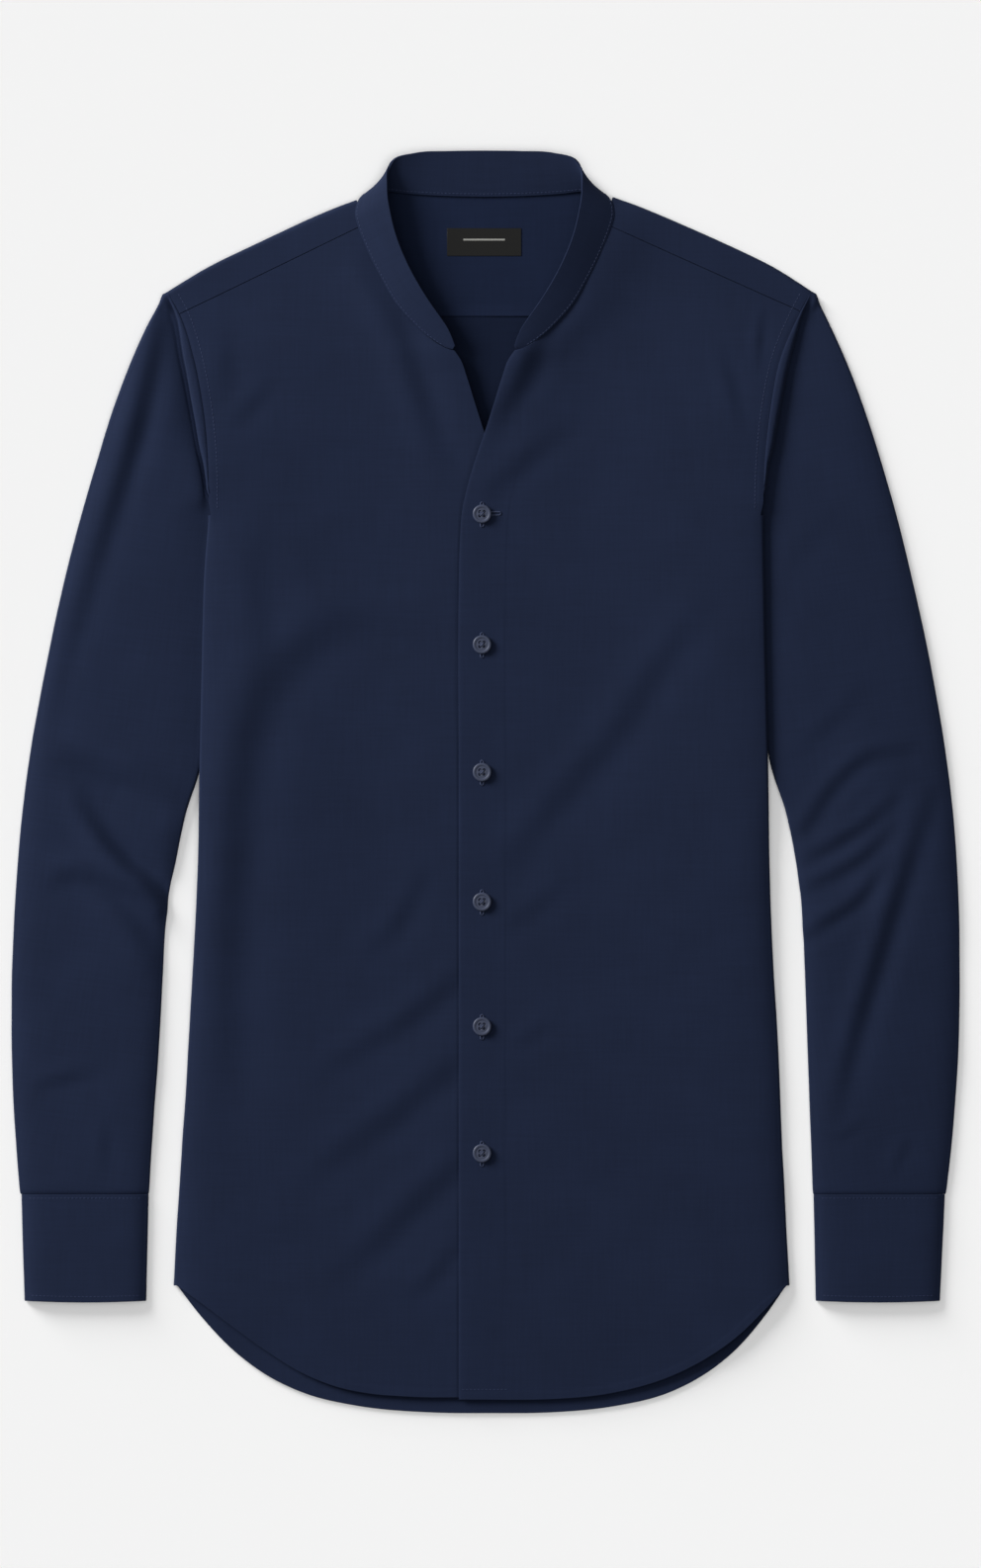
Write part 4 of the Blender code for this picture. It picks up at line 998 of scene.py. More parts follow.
def back_side(side):
    """The back's edge, down the armhole and the side seam."""
    arm = back_armhole(side, even(FINE), SEAM_GAP)
    arm = arm[arm[:, 1] > UNDERARM_Y + BACK_ARM_FOOT]
    seam = fold_start(side, UNDERARM_Y, SIDE_END_Y, even(FINE)) - [side * SEAM_GAP, 0]
    line = np.vstack([arm, seam])
    return np.vstack([
        stretch(line, YOKE_BACK_Y - SEAM_GAP / 2, UNDERARM_Y, even(BACK_CHEST)),
        stretch(line, UNDERARM_Y, SIDE_END_Y, BODY_SHARES[::2])[1:],
    ])


def back_panel(look):
    """One sheet between both side seams, from the yoke's seam to the curved hem, which curls up a little."""
    edges = [back_side(side) for side, _ in SIDES]
    across = even(BACK_ACROSS)
    top = between(edges[0][0], edges[1][0], across)
    bottom = spread(curve([edges[0][-1], *BACK_HEM[1:-1], edges[1][-1]]), across)
    plan = patch(top, bottom, *edges)
    x, y = plan[..., 0], plan[..., 1]
    away = np.abs(near_line(bottom, x, y)[0])
    hem = HEM_RISE * turned_in(away, HEM_WIDTH) + BACK_CURL * (1 - ease(away, *CURL_SPAN))
    z = back_height(x, y) + hem + np.maximum(waves(x, y, BACK_SEED), 0)
    # The inside above HEM_SHOWS gets the wrong side's finish, darkened further as painted shade under the neck
    # opening
    inside_with_shade = shade_and_wrong_side("navy_poplin_wrong_side", REVERSE_AND_SHADE)
    made = cloth("back_cloth", [raised(plan, z)], wall(), look, inside_with_shade=inside_with_shade, face_up=False)
    # The turned hem shows the right side of the cloth on the inside too; below HEM_SHOWS the inside has no painted
    # shade
    hem_faces = np.array([face.center.y < HEM_SHOWS * MM for face in made.data.polygons])
    for _ in range(2):
        made.data.materials.append(look)
    made.data.polygons.foreach_set("material_index", np.where(hem_faces, 2, 0).astype(np.int32))
    return made


def yoke_back_z(plan):
    """The yoke's back lies flat and laps over the back panel's edge."""
    return BACK_Z + YOKE_LAP_RISE * (1 - ease(plan[..., 1] - YOKE_BACK_Y, *YOKE_LAP_SPAN))


def yoke_side(side, neck_foot):
    """One side of the yoke: its back, the bend over the shoulder, and its front strip."""
    across = even(YOKE_SHOULDER)
    tip = spread(curve(SHOULDER[side]), across)
    outward = side * plan_normals(tip)
    outward[-1] = ARM_UP[side]
    start = tip - (FOLD_RADIUS + WALL / 2) * outward
    start[-1] = ARM_LINE[side][0]
    back_y = YOKE_BACK_Y - YOKE_LAP
    arm = back_armhole(side, even(FINE), SEAM_GAP)
    arm_foot = np.array([x_at(arm, back_y), back_y])
    neck_column = between(neck_foot, start[0], even(YOKE_DOWN))
    arm_column = np.vstack([stretch(arm, back_y, start[-1, 1], even(YOKE_DOWN))[:-1], start[-1]])
    foot = between(neck_foot, arm_foot, across)
    plan = patch(foot, start, neck_column, arm_column)
    under = raised(plan, yoke_back_z(plan))
    neck_y, arm_y = np.array(YOKE_FRONT_Y[side]) + YOKE_GAP / 2
    neck_edge = curve([start[0], *neck_line(side, YOKE_NECK_Y, neck_y, even(2))])
    neck_edge = spread(neck_edge, even(YOKE_FRONT))
    arm_edge = stretch(ARM_LINE[side], start[-1, 1], arm_y, even(YOKE_FRONT))
    seam = between(neck_edge[-1], arm_edge[-1], across)
    over = lifted(patch(start, seam, neck_edge, arm_edge), front_height)
    return under, bend(over[0], under[-1], outward), over, start[0]


def yoke(look):
    """Back sheet between the neck and the back, folded over both shoulders to the front seams."""
    back_y = YOKE_BACK_Y - YOKE_LAP
    grids, corners = [], []
    for side, _ in SIDES:
        foot = np.array([SHOULDER[side][0][0], back_y])
        *made, corner = yoke_side(side, foot)
        grids += made
        corners.append((foot, corner, made[0][:, 0, :2]))
    (left_foot, left_top, left_column), (right_foot, right_top, right_column) = corners
    neck = np.array([row[:2] for row in COLLAR[:COLLAR_BACK]])
    arc = np.vstack([neck[:0:-1] * [-1, 1], neck]) + [COLLAR_X, YOKE_UNDER_COLLAR]
    top = spread(curve([left_top, *arc, right_top]), even(YOKE_NECK))
    foot = between(left_foot, right_foot, even(YOKE_NECK))
    plan = patch(foot, top, left_column, right_column)
    grids.append(raised(plan, yoke_back_z(plan)))
    # The yoke's inner layer is the cloth's right side; its darker finish without sheen is painted shade inside the
    # neck
    lining_shade = shade_and_wrong_side("navy_poplin_yoke_lining", LINING_SHADE)
    return cloth("yoke_cloth", grids, wall(), look, inside_with_shade=lining_shade, face_up=False)


# ---------------------------------------------------------------- sleeves and cuffs


def sleeve_head(side):
    """Rows of points from under the front's armhole edge over the strip down into the trough."""
    arm = stretch(ARM_LINE[side], ARM_LINE[side][0, 1], UNDERARM_Y + ARM_TOP, even(SLEEVE_ACROSS) ** SHOULDER_CLOSER)
    outward = side * plan_normals(arm)
    along = distances(arm)
    left = along[-1] - along
    width = table_at(STRIP, 1, arm[:, 1])
    front_z = FRONT_Z + table_at(SIDE_LIFT, 1, arm[:, 1])
    pressed = ease(arm[:, 1] - SHOULDER_TIP[side][1], *PRESS_ABOVE)
    low_z = FRONT_Z + (trough_z(side, arm[:, 1]) - FRONT_Z) * pressed
    inside = ease(left, UNDER_OVER, 0.0)
    rows = []
    for number, (share, further, *highs, drop) in enumerate(HEAD_ROWS):
        high = highs[side == LEFT]
        part = number / (len(HEAD_ROWS) - 1)
        if further < 0:
            further = further * ease(along, *TUCK) + TUCK_SPREAD * part
        offset = (share * width + further) * (1 - inside) + (part - UNDER_IN) * inside
        row = arm + outward * offset[:, None]
        row[:, 1] -= UNDER_DROP * part * inside**3
        z = low_z + high * (front_z - low_z) - drop * ease(along, 0.0, TUCK[0])
        z += (trough_z(side, row[:, 1]) - z) * ease(left, *UNDER_LOW)
        rows.append(raised(row, z))
    return np.array(rows)


def sleeve(side, name, look):
    """A flattened tube: its upper side from the head to the cuff, its under side and both edge bends."""
    head = sleeve_head(side)
    near = head[-1, :, :2]
    down = np.r_[even(SLEEVE_DOWN)[:-1] ** SLEEVE_CLOSER, LAST_ROW, 1]
    edges = []
    for table, start, first in ((SLEEVE_OUTER, near[0], 0), (SLEEVE_INNER, near[-1], 1)):
        edge = outline(table, side)
        inset = (sleeve_height(side, edge[:, 0], edge[:, 1]) - BACK_Z + WALL) / 2
        inwards = -side * plan_normals(edge) if table is SLEEVE_OUTER else np.array([side, 0.0])
        starts = spread(edge + inset[:, None] * inwards, even(SLEEVE_EDGE))
        edges.append(spread(curve([start, *starts[first:]]), down))
    outer, inner = edges
    end = between(outer[-1], inner[-1], even(SLEEVE_ACROSS))
    plan = patch(near, end, outer, inner, None, down)
    upper = raised(plan, sleeve_height(side, plan[..., 0], plan[..., 1]))
    blend = ease(distances(outer), 0.0, HEAD_BLEND)[:, None]
    upper[..., 2] = upper[..., 2] * blend + head[-1, :, 2] * (1 - blend)
    upper = np.concatenate([head[:-1], upper])

    back = back_armhole(side, even(UNDER_ACROSS) ** SHOULDER_CLOSER, -SEAM_GAP / 2)
    back[0], back[-1] = upper[0, 0, :2], upper[0, -1, :2]
    under_end = between(outer[-1], inner[-1], even(UNDER_ACROSS))
    under = raised(patch(back, under_end, upper[:, 0, :2], upper[:, -1, :2]), BACK_Z)

    out_way = upper[:, 0, :2] - upper[:, 1, :2]
    in_way = upper[:, -1, :2] - upper[:, -2, :2]
    out_way[: len(head)] = ARM_UP[side]
    in_way[: len(head) + 1] = (-side, 0)
    bends = [bend(upper[:, 0], under[:, 0], unit(out_way)), bend(upper[:, -1], under[:, -1], unit(in_way))]
    return cloth(name, [upper, under, *bends], wall(), look, turn=side * math.radians(SLEEVE_GRAIN))


CUFF_SHARES = even(CUFF_ACROSS)  # across a cuff


def cuff_plan(side):
    """Plan grid of a cuff's upper side, without its edges' bends, and the cuff's thickness."""
    thick = bpy.context.scene.shirt_sizes.cuff_wall / MM
    inset = thick / 2 + (CUFF_Z - CUFF_DROP - thick / 2) / 2
    outer, inner = (
        spread(curve([(row[column] - way * inset, row[0]) for row in CUFF]), even(CUFF_DOWN))
        for column, way in ((1 if side == RIGHT else 4, side), (2 if side == RIGHT else 3, -side))
    )
    near, far = (between(outer[end], inner[end], CUFF_SHARES) for end in (0, -1))
    far[:, 1] -= CUFF_SAG * np.sin(math.pi * CUFF_SHARES)
    return patch(near, far, outer, inner), thick


def cuff_height():
    """Crown of a cuff, at its shares across."""
    from_edge = np.minimum(CUFF_SHARES, 1 - CUFF_SHARES) * (CUFF[0][4] - CUFF[0][3])
    return CUFF_Z - CUFF_DROP * np.exp(-from_edge / CUFF_REACH)


def cuff(side, name, look):
    """A flattened tube, open at the hand, that swells between its edges."""
    plan, thick = cuff_plan(side)
    z = cuff_height() + waves(plan[..., 0], plan[..., 1], CUFF_SEED, CUFF_WAVE_HEIGHT)
    upper, under = raised(plan, z), raised(plan, thick / 2)
    ways = [np.tile([direction, 0.0], (len(plan), 1)) for direction in (side, -side)]
    bends = [bend(upper[:, 0], under[:, 0], ways[0]), bend(upper[:, -1], under[:, -1], ways[1])]
    return cloth(name, [upper, under, *bends], thick, look)


# ---------------------------------------------------------------- collar, buttons, label


def collar_grid():
    """The middle of the collar's wall: lines from the neck seam to the top edge, bowed outward."""
    half = spread(curve(COLLAR), even(COLLAR_HALF))
    seam, top = half[:, :3].copy(), half[:, 3:].copy()
    top[:, 2] = seam[:, 2] + COLLAR_SETTLE * (top[:, 2] - seam[:, 2])
    seam[:, 2] -= COLLAR_SINK * ease(seam[:, 1], *COLLAR_SINK_Y)
    lean = top - seam
    flat = np.linalg.norm(lean[:, :2], axis=1)
    steep = lean[:, 2] / np.linalg.norm(lean, axis=1)
    seam[:, :2] += lean[:, :2] * ((COLLAR_CLEAR + steep) / flat)[:, None]
    rows = even(COLLAR_UP)[:, None, None]
    outward = unit(np.column_stack([-lean[:, :2] * (lean[:, 2] / flat)[:, None], flat]))
    grid = seam * (1 - rows) + top * rows + COLLAR_BOW * np.sin(math.pi * rows) * outward
    mirrored = grid[:, :0:-1] * [-1, 1, 1]
    return np.concatenate([mirrored, grid], axis=1) + [COLLAR_X, 0, 0]


def collar(look):
    """The collar's grid as one stiff wall, with its grain along its length."""
    grid = collar_grid()
    along = np.broadcast_to(distances(grid[0]), grid.shape[:2])
    height = np.concatenate([
        np.zeros((1, grid.shape[1])), np.cumsum(np.linalg.norm(np.diff(grid, axis=0), axis=2), axis=0),
    ])
    return cloth(
        "collar_cloth", [grid], bpy.context.scene.shirt_sizes.collar_wall / MM, look,
        grain=np.stack([height, along], axis=-1) * MM,
    )


def button(number, y, look):
    """A turned button: a polar grid with its profile's heights, and four holes let into its face."""
    face = BUTTON_FACE * even(BUTTON_RINGS)[1:]
    radius = np.r_[face, [row[0] for row in BUTTON_PROFILE]]
    height = np.r_[np.full(len(face), BUTTON_FACE_Z), [row[1] for row in BUTTON_PROFILE]]
    turn = np.linspace(0, 2 * math.pi, BUTTON_SPOKES, endpoint=False)
    x, ring_y = radius[:, None] * np.cos(turn), radius[:, None] * np.sin(turn)
    z = np.broadcast_to(height[:, None], x.shape).copy()
    hole = np.hypot(np.abs(x[: len(face)]) - HOLE_OFFSET, np.abs(ring_y[: len(face)]) - HOLE_OFFSET)
    z[: len(face)] -= (BUTTON_FACE_Z - HOLE_FLOOR) * (1 - ease(hole - HOLE_RADIUS, *HOLE_WALL))
    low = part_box(f"button_{number}")[0].z / MM
    points = np.stack([x + BUTTON_X, ring_y + y, z + low], axis=-1).reshape(-1, 3)
    ends = [(BUTTON_X, y, low + BUTTON_FACE_Z), (BUTTON_X, y, low)]
    points = np.vstack([points, ends])
    index = np.arange(x.size).reshape(x.shape)
    index = np.column_stack([index, index[:, :1]])
    corners = (index[:-1, :-1], index[1:, :-1], index[1:, 1:], index[:-1, 1:])
    faces = np.stack(corners, axis=-1).reshape(-1, 4).tolist()
    faces += [(x.size, a, b) for a, b in zip(index[0, :-1].tolist(), index[0, 1:].tolist())]
    faces += [(x.size + 1, b, a) for a, b in zip(index[-1, :-1].tolist(), index[-1, 1:].tolist())]
    return mesh_object(f"button_{number}_turned", points, faces, look)


def button_thread(look):
    """Two threads crossed over the four holes of each button."""
    t = np.linspace(-1, 1, 9)
    lines = []
    for number, y in enumerate(BUTTON_YS, 1):
        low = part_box(f"button_{number}")[0].z / MM
        for slope in (-1, 1):
            z = low + BUTTON_FACE_Z + CROSS_RISE + CROSS_APART * slope - CROSS_BOW * t**4
            lines.append(np.column_stack([BUTTON_X + HOLE_OFFSET * t, y + slope * HOLE_OFFSET * t, z]))
    return tubes("button_thread", lines, np.full(len(t), CROSS_RADIUS), 8, look)


def buttonholes(look):
    """Thread round each buttonhole: a ribbed roll along a long loop. The first one has a crosswise tail."""
    length, width = BUTTONHOLE
    turn = np.linspace(0, 2 * math.pi, LOOP_POINTS, endpoint=False)
    radius, straight = width / 2 - LOOP_INSET, (length - width) / 2
    ends_x = radius * np.cos(turn)
    ends_y = radius * np.sin(turn) + straight * np.tanh(LOOP_STRAIGHT * np.sin(turn))
    radii = TWIST_RADIUS + TWIST_RIB * np.sin(turn * TWIST_RIBS)
    loops = [np.column_stack([BUTTON_X + ends_x, y + HOLE_SHIFT + ends_y]) for y in BUTTON_YS]
    tail_x, tail_y = BUTTON_X + TAIL_SHIFT[0], BUTTON_YS[0] + TAIL_SHIFT[1]
    loops.append(np.column_stack([tail_x + ends_y * TAIL_LENGTH, tail_y + ends_x]))
    lines = [on_cloth(loop, left_height, TWIST_OVER) for loop in loops]
    return tubes("buttonhole_thread", lines, radii, 6, look, closed=True)


def slab(name, centre, size, low, look, bevel=0.15):
    """A flat slab with softly rounded edges."""
    corners = np.array([(x, y, z) for z in (0, 1) for y in (-0.5, 0.5) for x in (-0.5, 0.5)])
    faces = [(0, 2, 3, 1), (4, 5, 7, 6), (0, 1, 5, 4), (1, 3, 7, 5), (3, 2, 6, 7), (2, 0, 4, 6)]
    made = mesh_object(name, corners * size + [*centre, low], faces, look)
    made.data.set_sharp_from_angle(angle=math.radians(SLAB_ANGLE))
    add_bevel(made, bevel)
    return made


# ---------------------------------------------------------------- materials


def linear(hexadecimal):
    """sRGB hex to linear red, green and blue."""
    code = int(hexadecimal.lstrip("#"), 16)
    parts = [(code >> shift & 255) / 255 for shift in (16, 8, 0)]
    return tuple(p / 12.92 if p <= 0.04045 else ((p + 0.055) / 1.055) ** 2.4 for p in parts)


def add(tree, kind, links=(), **settings):
    """A shader node with its settings. A link is (input, output socket); other inputs go by name in values."""
    node = tree.nodes.new(kind)
    values = settings.pop("values", {})
    for key, value in settings.items():
        setattr(node, key, value)
    for key, value in values.items():
        node.inputs[key].default_value = value
    for key, socket in dict(links).items():
        tree.links.new(socket, node.inputs[key])
    return node


def new_finish(name, settings):
    """A new material with these shader settings. Gives it with its node tree and its shader."""
    look = bpy.data.materials.new(name)
    look.use_nodes = True
    shader = look.node_tree.nodes["Principled BSDF"]
    for key, value in settings.items():
        shader.inputs[key].default_value = value
    return look, look.node_tree, shader


def colour_by_tone(tree, shader, colour, source, levels, tones):
    """The base colour: one colour times tones that follow an output between two of its levels."""
    tone = add(
        tree, "ShaderNodeMapRange", {"Value": source},
        values=dict(zip(("From Min", "From Max", "To Min", "To Max"), (*levels, *tones))),
    )
    shade = add(
        tree, "ShaderNodeMix", {7: tone.outputs["Result"]}, data_type="RGBA", blend_type="MULTIPLY",
        values={"Factor": 1.0, 6: (*colour, 1)},
    )
    tree.links.new(shade.outputs[2], shader.inputs["Base Color"])


def cotton(name="navy_poplin_cotton", share=1.0, weave_bump=0.05, sheen=0.05, specular=0.10):
    """Plain-woven combed cotton, dyed navy: matt, with a faint nap that catches grazing light. Made once.

    Warp and weft are two sine ridges, and slubs are noise drawn out along each thread. Real threads lie
    0.25 mm apart, too fine to show, so the weave is drawn at 0.6 mm.
    """
    if name in bpy.data.materials:
        return bpy.data.materials[name]
    look, tree, shader = new_finish(name, {
        "Roughness": 0.82, "Specular IOR Level": specular, "Sheen Weight": sheen, "Sheen Roughness": 0.45,
        "Sheen Tint": (*linear(NAP), 1),
    })
    grain = add(tree, "ShaderNodeUVMap", uv_map="grain").outputs["UV"]
    threads, slubs = [], []
    for direction, stretches in (("X", (1, SLUB_STRETCH)), ("Y", (SLUB_STRETCH, 1))):
        # At scale 1 a wave texture repeats every pi / 10 metres
        thread = add(
            tree, "ShaderNodeTexWave", {"Vector": grain}, wave_type="BANDS", bands_direction=direction,
            values={"Scale": math.pi / WEAVE_PITCH / 10, "Distortion": 0.0},
        )
        threads.append(thread.outputs["Fac"])
        drawn = add(
            tree, "ShaderNodeMapping", {"Vector": grain},
            values={"Scale": (stretches[0] * SLUB_SCALE, stretches[1] * SLUB_SCALE, 1)},
        )
        slub = add(
            tree, "ShaderNodeTexNoise", {"Vector": drawn.outputs["Vector"]},
            values={"Scale": 1.0, "Detail": 2.0, "Roughness": 0.6},
        )
        slubs.append(slub.outputs["Fac"])
    weave = add(tree, "ShaderNodeMath", dict(enumerate(threads)), operation="MULTIPLY")
    slub = add(tree, "ShaderNodeMath", dict(enumerate(slubs)), operation="ADD")
    cloudy = add(
        tree, "ShaderNodeTexNoise", {"Vector": grain}, values={"Scale": 18.0, "Detail": 3.0, "Roughness": 0.5},
    )
    uneven = add(tree, "ShaderNodeMath", {0: slub.outputs[0], 1: cloudy.outputs["Fac"]}, operation="ADD")
    colour = tuple(share * part for part in bpy.context.scene.shirt_colours.cotton)
    colour_by_tone(tree, shader, colour, uneven.outputs[0], (0.9, 2.1), (0.86, 1.14))
    relief = add(tree, "ShaderNodeMath", {0: weave.outputs[0], 1: slub.outputs[0]}, operation="MULTIPLY")
    bump = add(
        tree, "ShaderNodeBump", {"Height": relief.outputs[0]},
        values={"Strength": 0.35, "Distance": weave_bump * MM},
    )
    tree.links.new(bump.outputs["Normal"], shader.inputs["Normal"])
    return look


def shade_and_wrong_side(name, share):
    """The cloth's wrong side, without the bloom of the pressed right side, and darker still as painted shade inside
    the shirt.
    """
    return cotton(name, share, sheen=0.0, specular=0.05)


def interlined():
    """The same cotton over a stiff interlining, which fills the weave and looks smoother."""
    return cotton("navy_poplin_over_interlining", weave_bump=0.03)


def plain(name):
    """One of the plain finishes, with a fine uneven tone. Made once."""
    if name in bpy.data.materials:
        return bpy.data.materials[name]
    setting, roughness, specular, mottle, scale = PLAIN[name]
    look, tree, shader = new_finish(name, {"Roughness": roughness, "Specular IOR Level": specular})
    place = add(tree, "ShaderNodeTexCoord").outputs["Object"]
    noise = add(tree, "ShaderNodeTexNoise", {"Vector": place}, values={"Scale": scale, "Detail": 3.0})
    colour = getattr(bpy.context.scene.shirt_colours, setting)
    colour_by_tone(tree, shader, colour, noise.outputs["Fac"], (0.3, 0.7), (1 - mottle, 1 + mottle))
    return look


# ---------------------------------------------------------------- settings


def length_setting(name, description, default):
    """A length in metres."""
    return bpy.props.FloatProperty(name=name, description=description, default=default, unit="LENGTH")


def amount_setting(name, description, default):
    """A plain number: a share, or a light's strength."""
    return bpy.props.FloatProperty(name=name, description=description, default=default)


def colour_setting(name, description, default):
    """A colour, from its sRGB hex."""
    return bpy.props.FloatVectorProperty(
        name=name, description=description, subtype="COLOR", default=linear(default)
    )


class ShirtSizes(bpy.types.PropertyGroup):
    """Sizes of the cloth and the sewing."""

    cloth_wall: length_setting("Cloth", "Thickness of the cloth", 0.0007)
    collar_wall: length_setting("Collar", "Thickness of the interlined collar", 0.0016)
    cuff_wall: length_setting("Cuff", "Thickness of one layer of cuff", 0.0011)
    crease_depth: amount_setting("Creases", "Depth of the creases, as a share of the table's", 0.9)
    stitch_pitch: length_setting("Stitch", "Length of a stitch with its gap", 0.0024)
    thread_width: length_setting("Thread", "Width of a stitch, drawn wider than real to show", 0.00042)


class ShirtColours(bpy.types.PropertyGroup):
    """Colours of the cloth, the thread, the buttons, the label and the floor."""

    cotton: colour_setting("Cotton", "The shirt's navy", "#1a233a")
    thread: colour_setting("Thread", "Sewing thread", "#25304f")
    twist: colour_setting("Twist", "Thread of the buttonholes and buttons", "#39425e")
    button: colour_setting("Buttons", "Dyed resin", "#363d52")
    label: colour_setting("Label", "Woven ribbon of the neck label", "#0d0d0c")
    mark: colour_setting("Label mark", "Plain woven line on the label", "#8f8f8a")
    floor: colour_setting("Floor", "The pale surface beneath", "#ededed")


class ShirtLights(bpy.types.PropertyGroup):
    """Strengths of the lights. The key leaves out the floor, and two lights of its own make it evenly pale."""

    key: amount_setting("Key", "Soft box at the upper left, on the shirt", 4.75)
    ground: amount_setting("Ground", "Soft light on the floor", 4.2)
    ground_fill: amount_setting("Ground fill", "Light on the floor from above", 1.1)
    top: amount_setting("Top", "Softbox straight above", 0.66)
    sky: amount_setting("Sky", "Light from all round", 0.14)


# ---------------------------------------------------------------- operators


class ShirtBuild:
    """What the operators that build pieces share."""

    bl_options = {"REGISTER", "UNDO"}


class SHIRT_OT_back(ShirtBuild, bpy.types.Operator):
    """Back panel and yoke"""

    bl_idname = "shirt.back"
    bl_label = "Back and yoke"

    def execute(self, context):
        back = settle(back_panel(cotton()), "back_panel", slot="navy_cotton")
        over = settle(yoke(cotton()), "yoke", slot="navy_cotton")
        return {"FINISHED"}


class SHIRT_OT_sleeves(ShirtBuild, bpy.types.Operator):
    """Both sleeves"""

    bl_idname = "shirt.sleeves"
    bl_label = "Sleeves"

    def execute(self, context):
        for side, wearer in SIDES:
            piece = sleeve(side, f"sleeve_{wearer}_cloth", cotton())
            settle(piece, f"sleeve_{wearer}", slot="navy_cotton")
        return {"FINISHED"}


class SHIRT_OT_fronts(ShirtBuild, bpy.types.Operator):
    """Right front, and the left front with its placket over it"""

    bl_idname = "shirt.fronts"
    bl_label = "Fronts"

    def execute(self, context):
        for side, wearer in SIDES:
            piece = front(side, f"front_{wearer}_cloth", FRONT_HEIGHT[side], cotton())
            settle(piece, f"front_{wearer}", slot="navy_cotton")
        return {"FINISHED"}


class SHIRT_OT_cuffs(ShirtBuild, bpy.types.Operator):
    """Both cuffs"""

    bl_idname = "shirt.cuffs"
    bl_label = "Cuffs"

    def execute(self, context):
        for side, wearer in SIDES:
            piece = cuff(side, f"cuff_{wearer}_cloth", interlined())
            settle(piece, f"cuff_{wearer}", slot="navy_cotton_cuff")
        return {"FINISHED"}


class SHIRT_OT_collar(ShirtBuild, bpy.types.Operator):
    """The collar band"""

    bl_idname = "shirt.collar"
    bl_label = "Collar"

    def execute(self, context):
        piece = settle(collar(interlined()), "collar", slot="navy_cotton_collar")
        return {"FINISHED"}


class SHIRT_OT_buttons(ShirtBuild, bpy.types.Operator):
    """Buttons, their thread and the buttonholes"""

    bl_idname = "shirt.buttons"
    bl_label = "Buttons and buttonholes"

    def execute(self, context):
        for number, y in enumerate(BUTTON_YS, 1):
            settle(button(number, y, plain("dyed_polyester_resin")), f"button_{number}", slot="navy_button")
        settle(button_thread(plain("buttonhole_twist")))
        settle(buttonholes(plain("buttonhole_twist")))
        return {"FINISHED"}


class SHIRT_OT_label(ShirtBuild, bpy.types.Operator):
    """The bare neck label with a plain woven line"""

    bl_idname = "shirt.label"
    bl_label = "Neck label"

    def execute(self, context):
        low = BACK_Z + wall() / 2 + LABEL_OVER
        ribbon = slab("label_ribbon", LABEL_CENTRE, LABEL_SIZE, low, plain("black_satin_ribbon"))
        settle(ribbon, "label", slot="black_satin")
        centre = (LABEL_CENTRE[0], LABEL_CENTRE[1] + LINE_UP)
        high = low + LABEL_SIZE[2] - LINE_SINK
        settle(slab("label_line", centre, LINE_SIZE, high, plain("pale_woven_yarn"), 0.03))
        return {"FINISHED"}


class SHIRT_OT_sewing(ShirtBuild, bpy.types.Operator):
    """Rows of stitches"""

    bl_idname = "shirt.sewing"
    bl_label = "Sewing"

    def execute(self, context):
        look = plain("spun_polyester_thread")
        rows = []
        for side, _ in SIDES:
            tip = SHOULDER_TIP[side][1] - ARMHOLE_STITCH_END
            arm = stretch(ARM_LINE[side], tip, UNDERARM_Y + ARMHOLE_STITCH_END, even(160))
            rows.append(on_cloth(arm - side * ARMHOLE_STITCH_IN * plan_normals(arm), FRONT_HEIGHT[side]))
        x_from, x_to, y = PLACKET_END_STITCH
        rows.append(on_cloth(between((x_from, y), (x_to, y), even(8)), left_height))
        settle(stitches("body_stitches", rows, look))

        grid = collar_grid()
        up = unit(np.cross(np.gradient(grid, axis=1), np.gradient(grid, axis=0)))
        up *= np.where(up[..., 2:] < 0, -1.0, 1.0)
        row = grid[1] + up[1] * (context.scene.shirt_sizes.collar_wall / MM / 2 + THREAD_OVER)
        settle(stitches("collar_stitches", [row[ROW_ENDS["collar"] : -ROW_ENDS["collar"]]], look))

        rows, ends = [], ROW_ENDS["cuff"]
        for side, _ in SIDES:
            plan, thick = cuff_plan(side)
            z = cuff_height() + thick / 2 + THREAD_OVER
            rows += [raised(plan[0] * (1 - down) + plan[-1] * down, z)[ends:-ends] for down in CUFF_STITCHES]
        settle(stitches("cuff_stitches", rows, look))
        return {"FINISHED"}


def place_lamps(scene, floor):
    """The lamps of the table, turned to the shirt. A group with or without the floor says what each lights."""
    lit = {None: None}
    for name, state in (("ground", "INCLUDE"), ("all_but_ground", "EXCLUDE")):
        lit[name] = bpy.data.collections.new(name)
        lit[name].objects.link(floor)
        lit[name].collection_objects[0].light_linking.link_state = state
    for name, kind, setting, angle, elevation, azimuth, group in LAMPS:
        lamp = bpy.data.lights.new(name, kind)
        lamp.energy = getattr(scene.shirt_lights, setting)
        made = bpy.data.objects.new(name, lamp)
        made.rotation_euler = (math.radians(90 - elevation), 0, math.radians(azimuth - 270))
        if kind == "AREA":
            lamp.energy *= math.pi * KEY_DISTANCE**2  # watts for a strength given as a sun's
            lamp.shape = "DISK"
            lamp.size = 2 * KEY_DISTANCE * math.tan(math.radians(angle / 2))
            made.location = made.rotation_euler.to_matrix() @ Vector((0, 0, KEY_DISTANCE))
        else:
            lamp.angle = math.radians(angle)
        made.light_linking.receiver_collection = lit[group]
        scene.collection.objects.link(made)


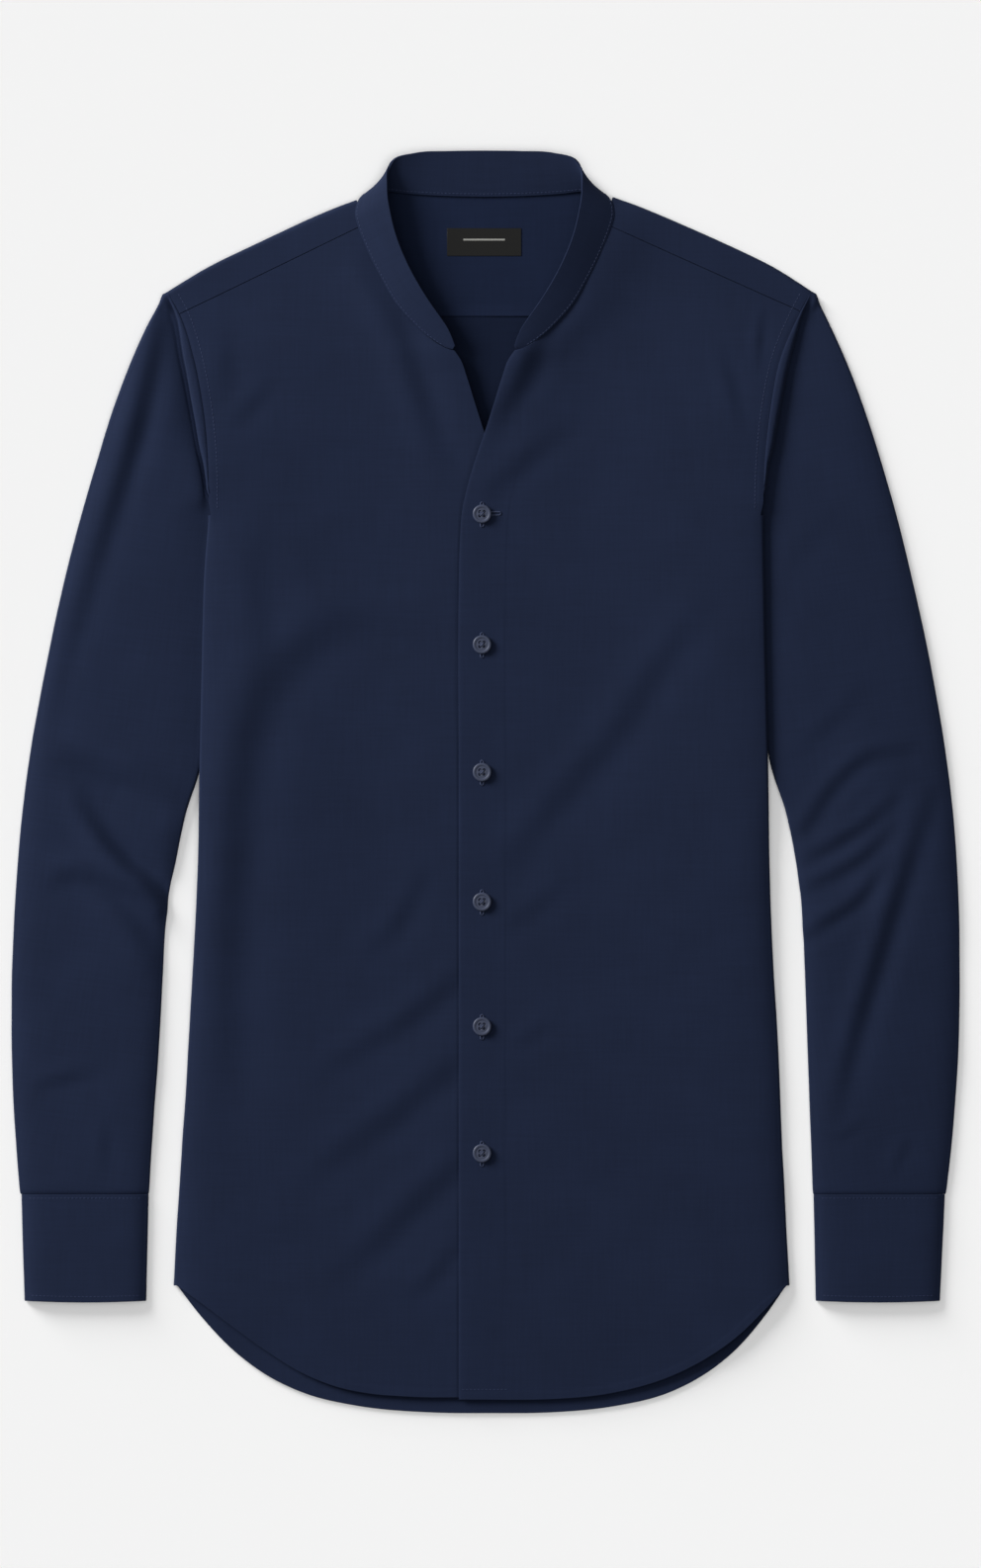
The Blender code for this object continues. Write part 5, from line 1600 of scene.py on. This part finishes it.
class SHIRT_OT_stage(ShirtBuild, bpy.types.Operator):
    """Floor, lights and camera"""

    bl_idname = "shirt.stage"
    bl_label = "Stage"

    def execute(self, context):
        scene, half = context.scene, FLOOR_SIZE / 2 / MM
        corners = [(-half, -half, 0), (half, -half, 0), (half, half, 0), (-half, half, 0)]
        floor = mesh_object("floor", corners, [(0, 1, 2, 3)], plain("matt_paper"))
        floor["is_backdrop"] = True
        place_lamps(scene, floor)
        scene.world = bpy.data.worlds.new("studio")
        scene.world.use_nodes = True
        background = scene.world.node_tree.nodes["Background"]
        background.inputs["Color"].default_value = (*linear("#ffffff"), 1)
        background.inputs["Strength"].default_value = scene.shirt_lights.sky
        lens = bpy.data.cameras.new("camera")
        lens.sensor_fit = "VERTICAL"
        lens.sensor_height = SENSOR
        lens.lens = SENSOR * CAMERA_HEIGHT / PICTURE_HEIGHT
        scene.camera = bpy.data.objects.new("camera", lens)
        scene.camera.location = (CAMERA_CENTRE[0] * MM, CAMERA_CENTRE[1] * MM, CAMERA_HEIGHT)
        scene.collection.objects.link(scene.camera)
        scene.view_settings.view_transform = "Standard"
        return {"FINISHED"}


class SHIRT_PT_panel(bpy.types.Panel):
    """The shirt's sizes, colours and pieces"""

    bl_idname = "SHIRT_PT_panel"
    bl_label = "Tulip collar shirt"
    bl_space_type = "VIEW_3D"
    bl_region_type = "UI"
    bl_category = "Shirt"

    def draw(self, context):
        for group in (context.scene.shirt_sizes, context.scene.shirt_colours, context.scene.shirt_lights):
            box = self.layout.box()
            for name in group.__annotations__:
                box.prop(group, name)
        for operator in BUILDERS:
            self.layout.operator(operator.bl_idname)


BUILDERS = (
    SHIRT_OT_stage, SHIRT_OT_back, SHIRT_OT_sleeves, SHIRT_OT_fronts, SHIRT_OT_cuffs, SHIRT_OT_collar,
    SHIRT_OT_buttons, SHIRT_OT_label, SHIRT_OT_sewing,
)
GROUPS = {"shirt_sizes": ShirtSizes, "shirt_colours": ShirtColours, "shirt_lights": ShirtLights}


def register():
    for group in (*GROUPS.values(), *BUILDERS, SHIRT_PT_panel):
        bpy.utils.register_class(group)
    for name, group in GROUPS.items():
        setattr(bpy.types.Scene, name, bpy.props.PointerProperty(type=group))


def unregister():
    for name in GROUPS:
        delattr(bpy.types.Scene, name)
    for group in (SHIRT_PT_panel, *reversed(BUILDERS), *reversed(GROUPS.values())):
        bpy.utils.unregister_class(group)


def main():
    """Builds every piece and the stage, and works out how far the solids and the finished shirt reach."""
    register()
    bpy.ops.shirt.stage()
    bpy.ops.shirt.back()
    bpy.ops.shirt.sleeves()
    bpy.ops.shirt.fronts()
    bpy.ops.shirt.cuffs()
    bpy.ops.shirt.collar()
    bpy.ops.shirt.buttons()
    bpy.ops.shirt.label()
    bpy.ops.shirt.sewing()
    boxes = {"cad": CAD_BOX, "visual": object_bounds()}
    boxes = {name: [[float(x) for x in corner] for corner in box] for name, box in boxes.items()}


if __name__ == "__main__":
    main()
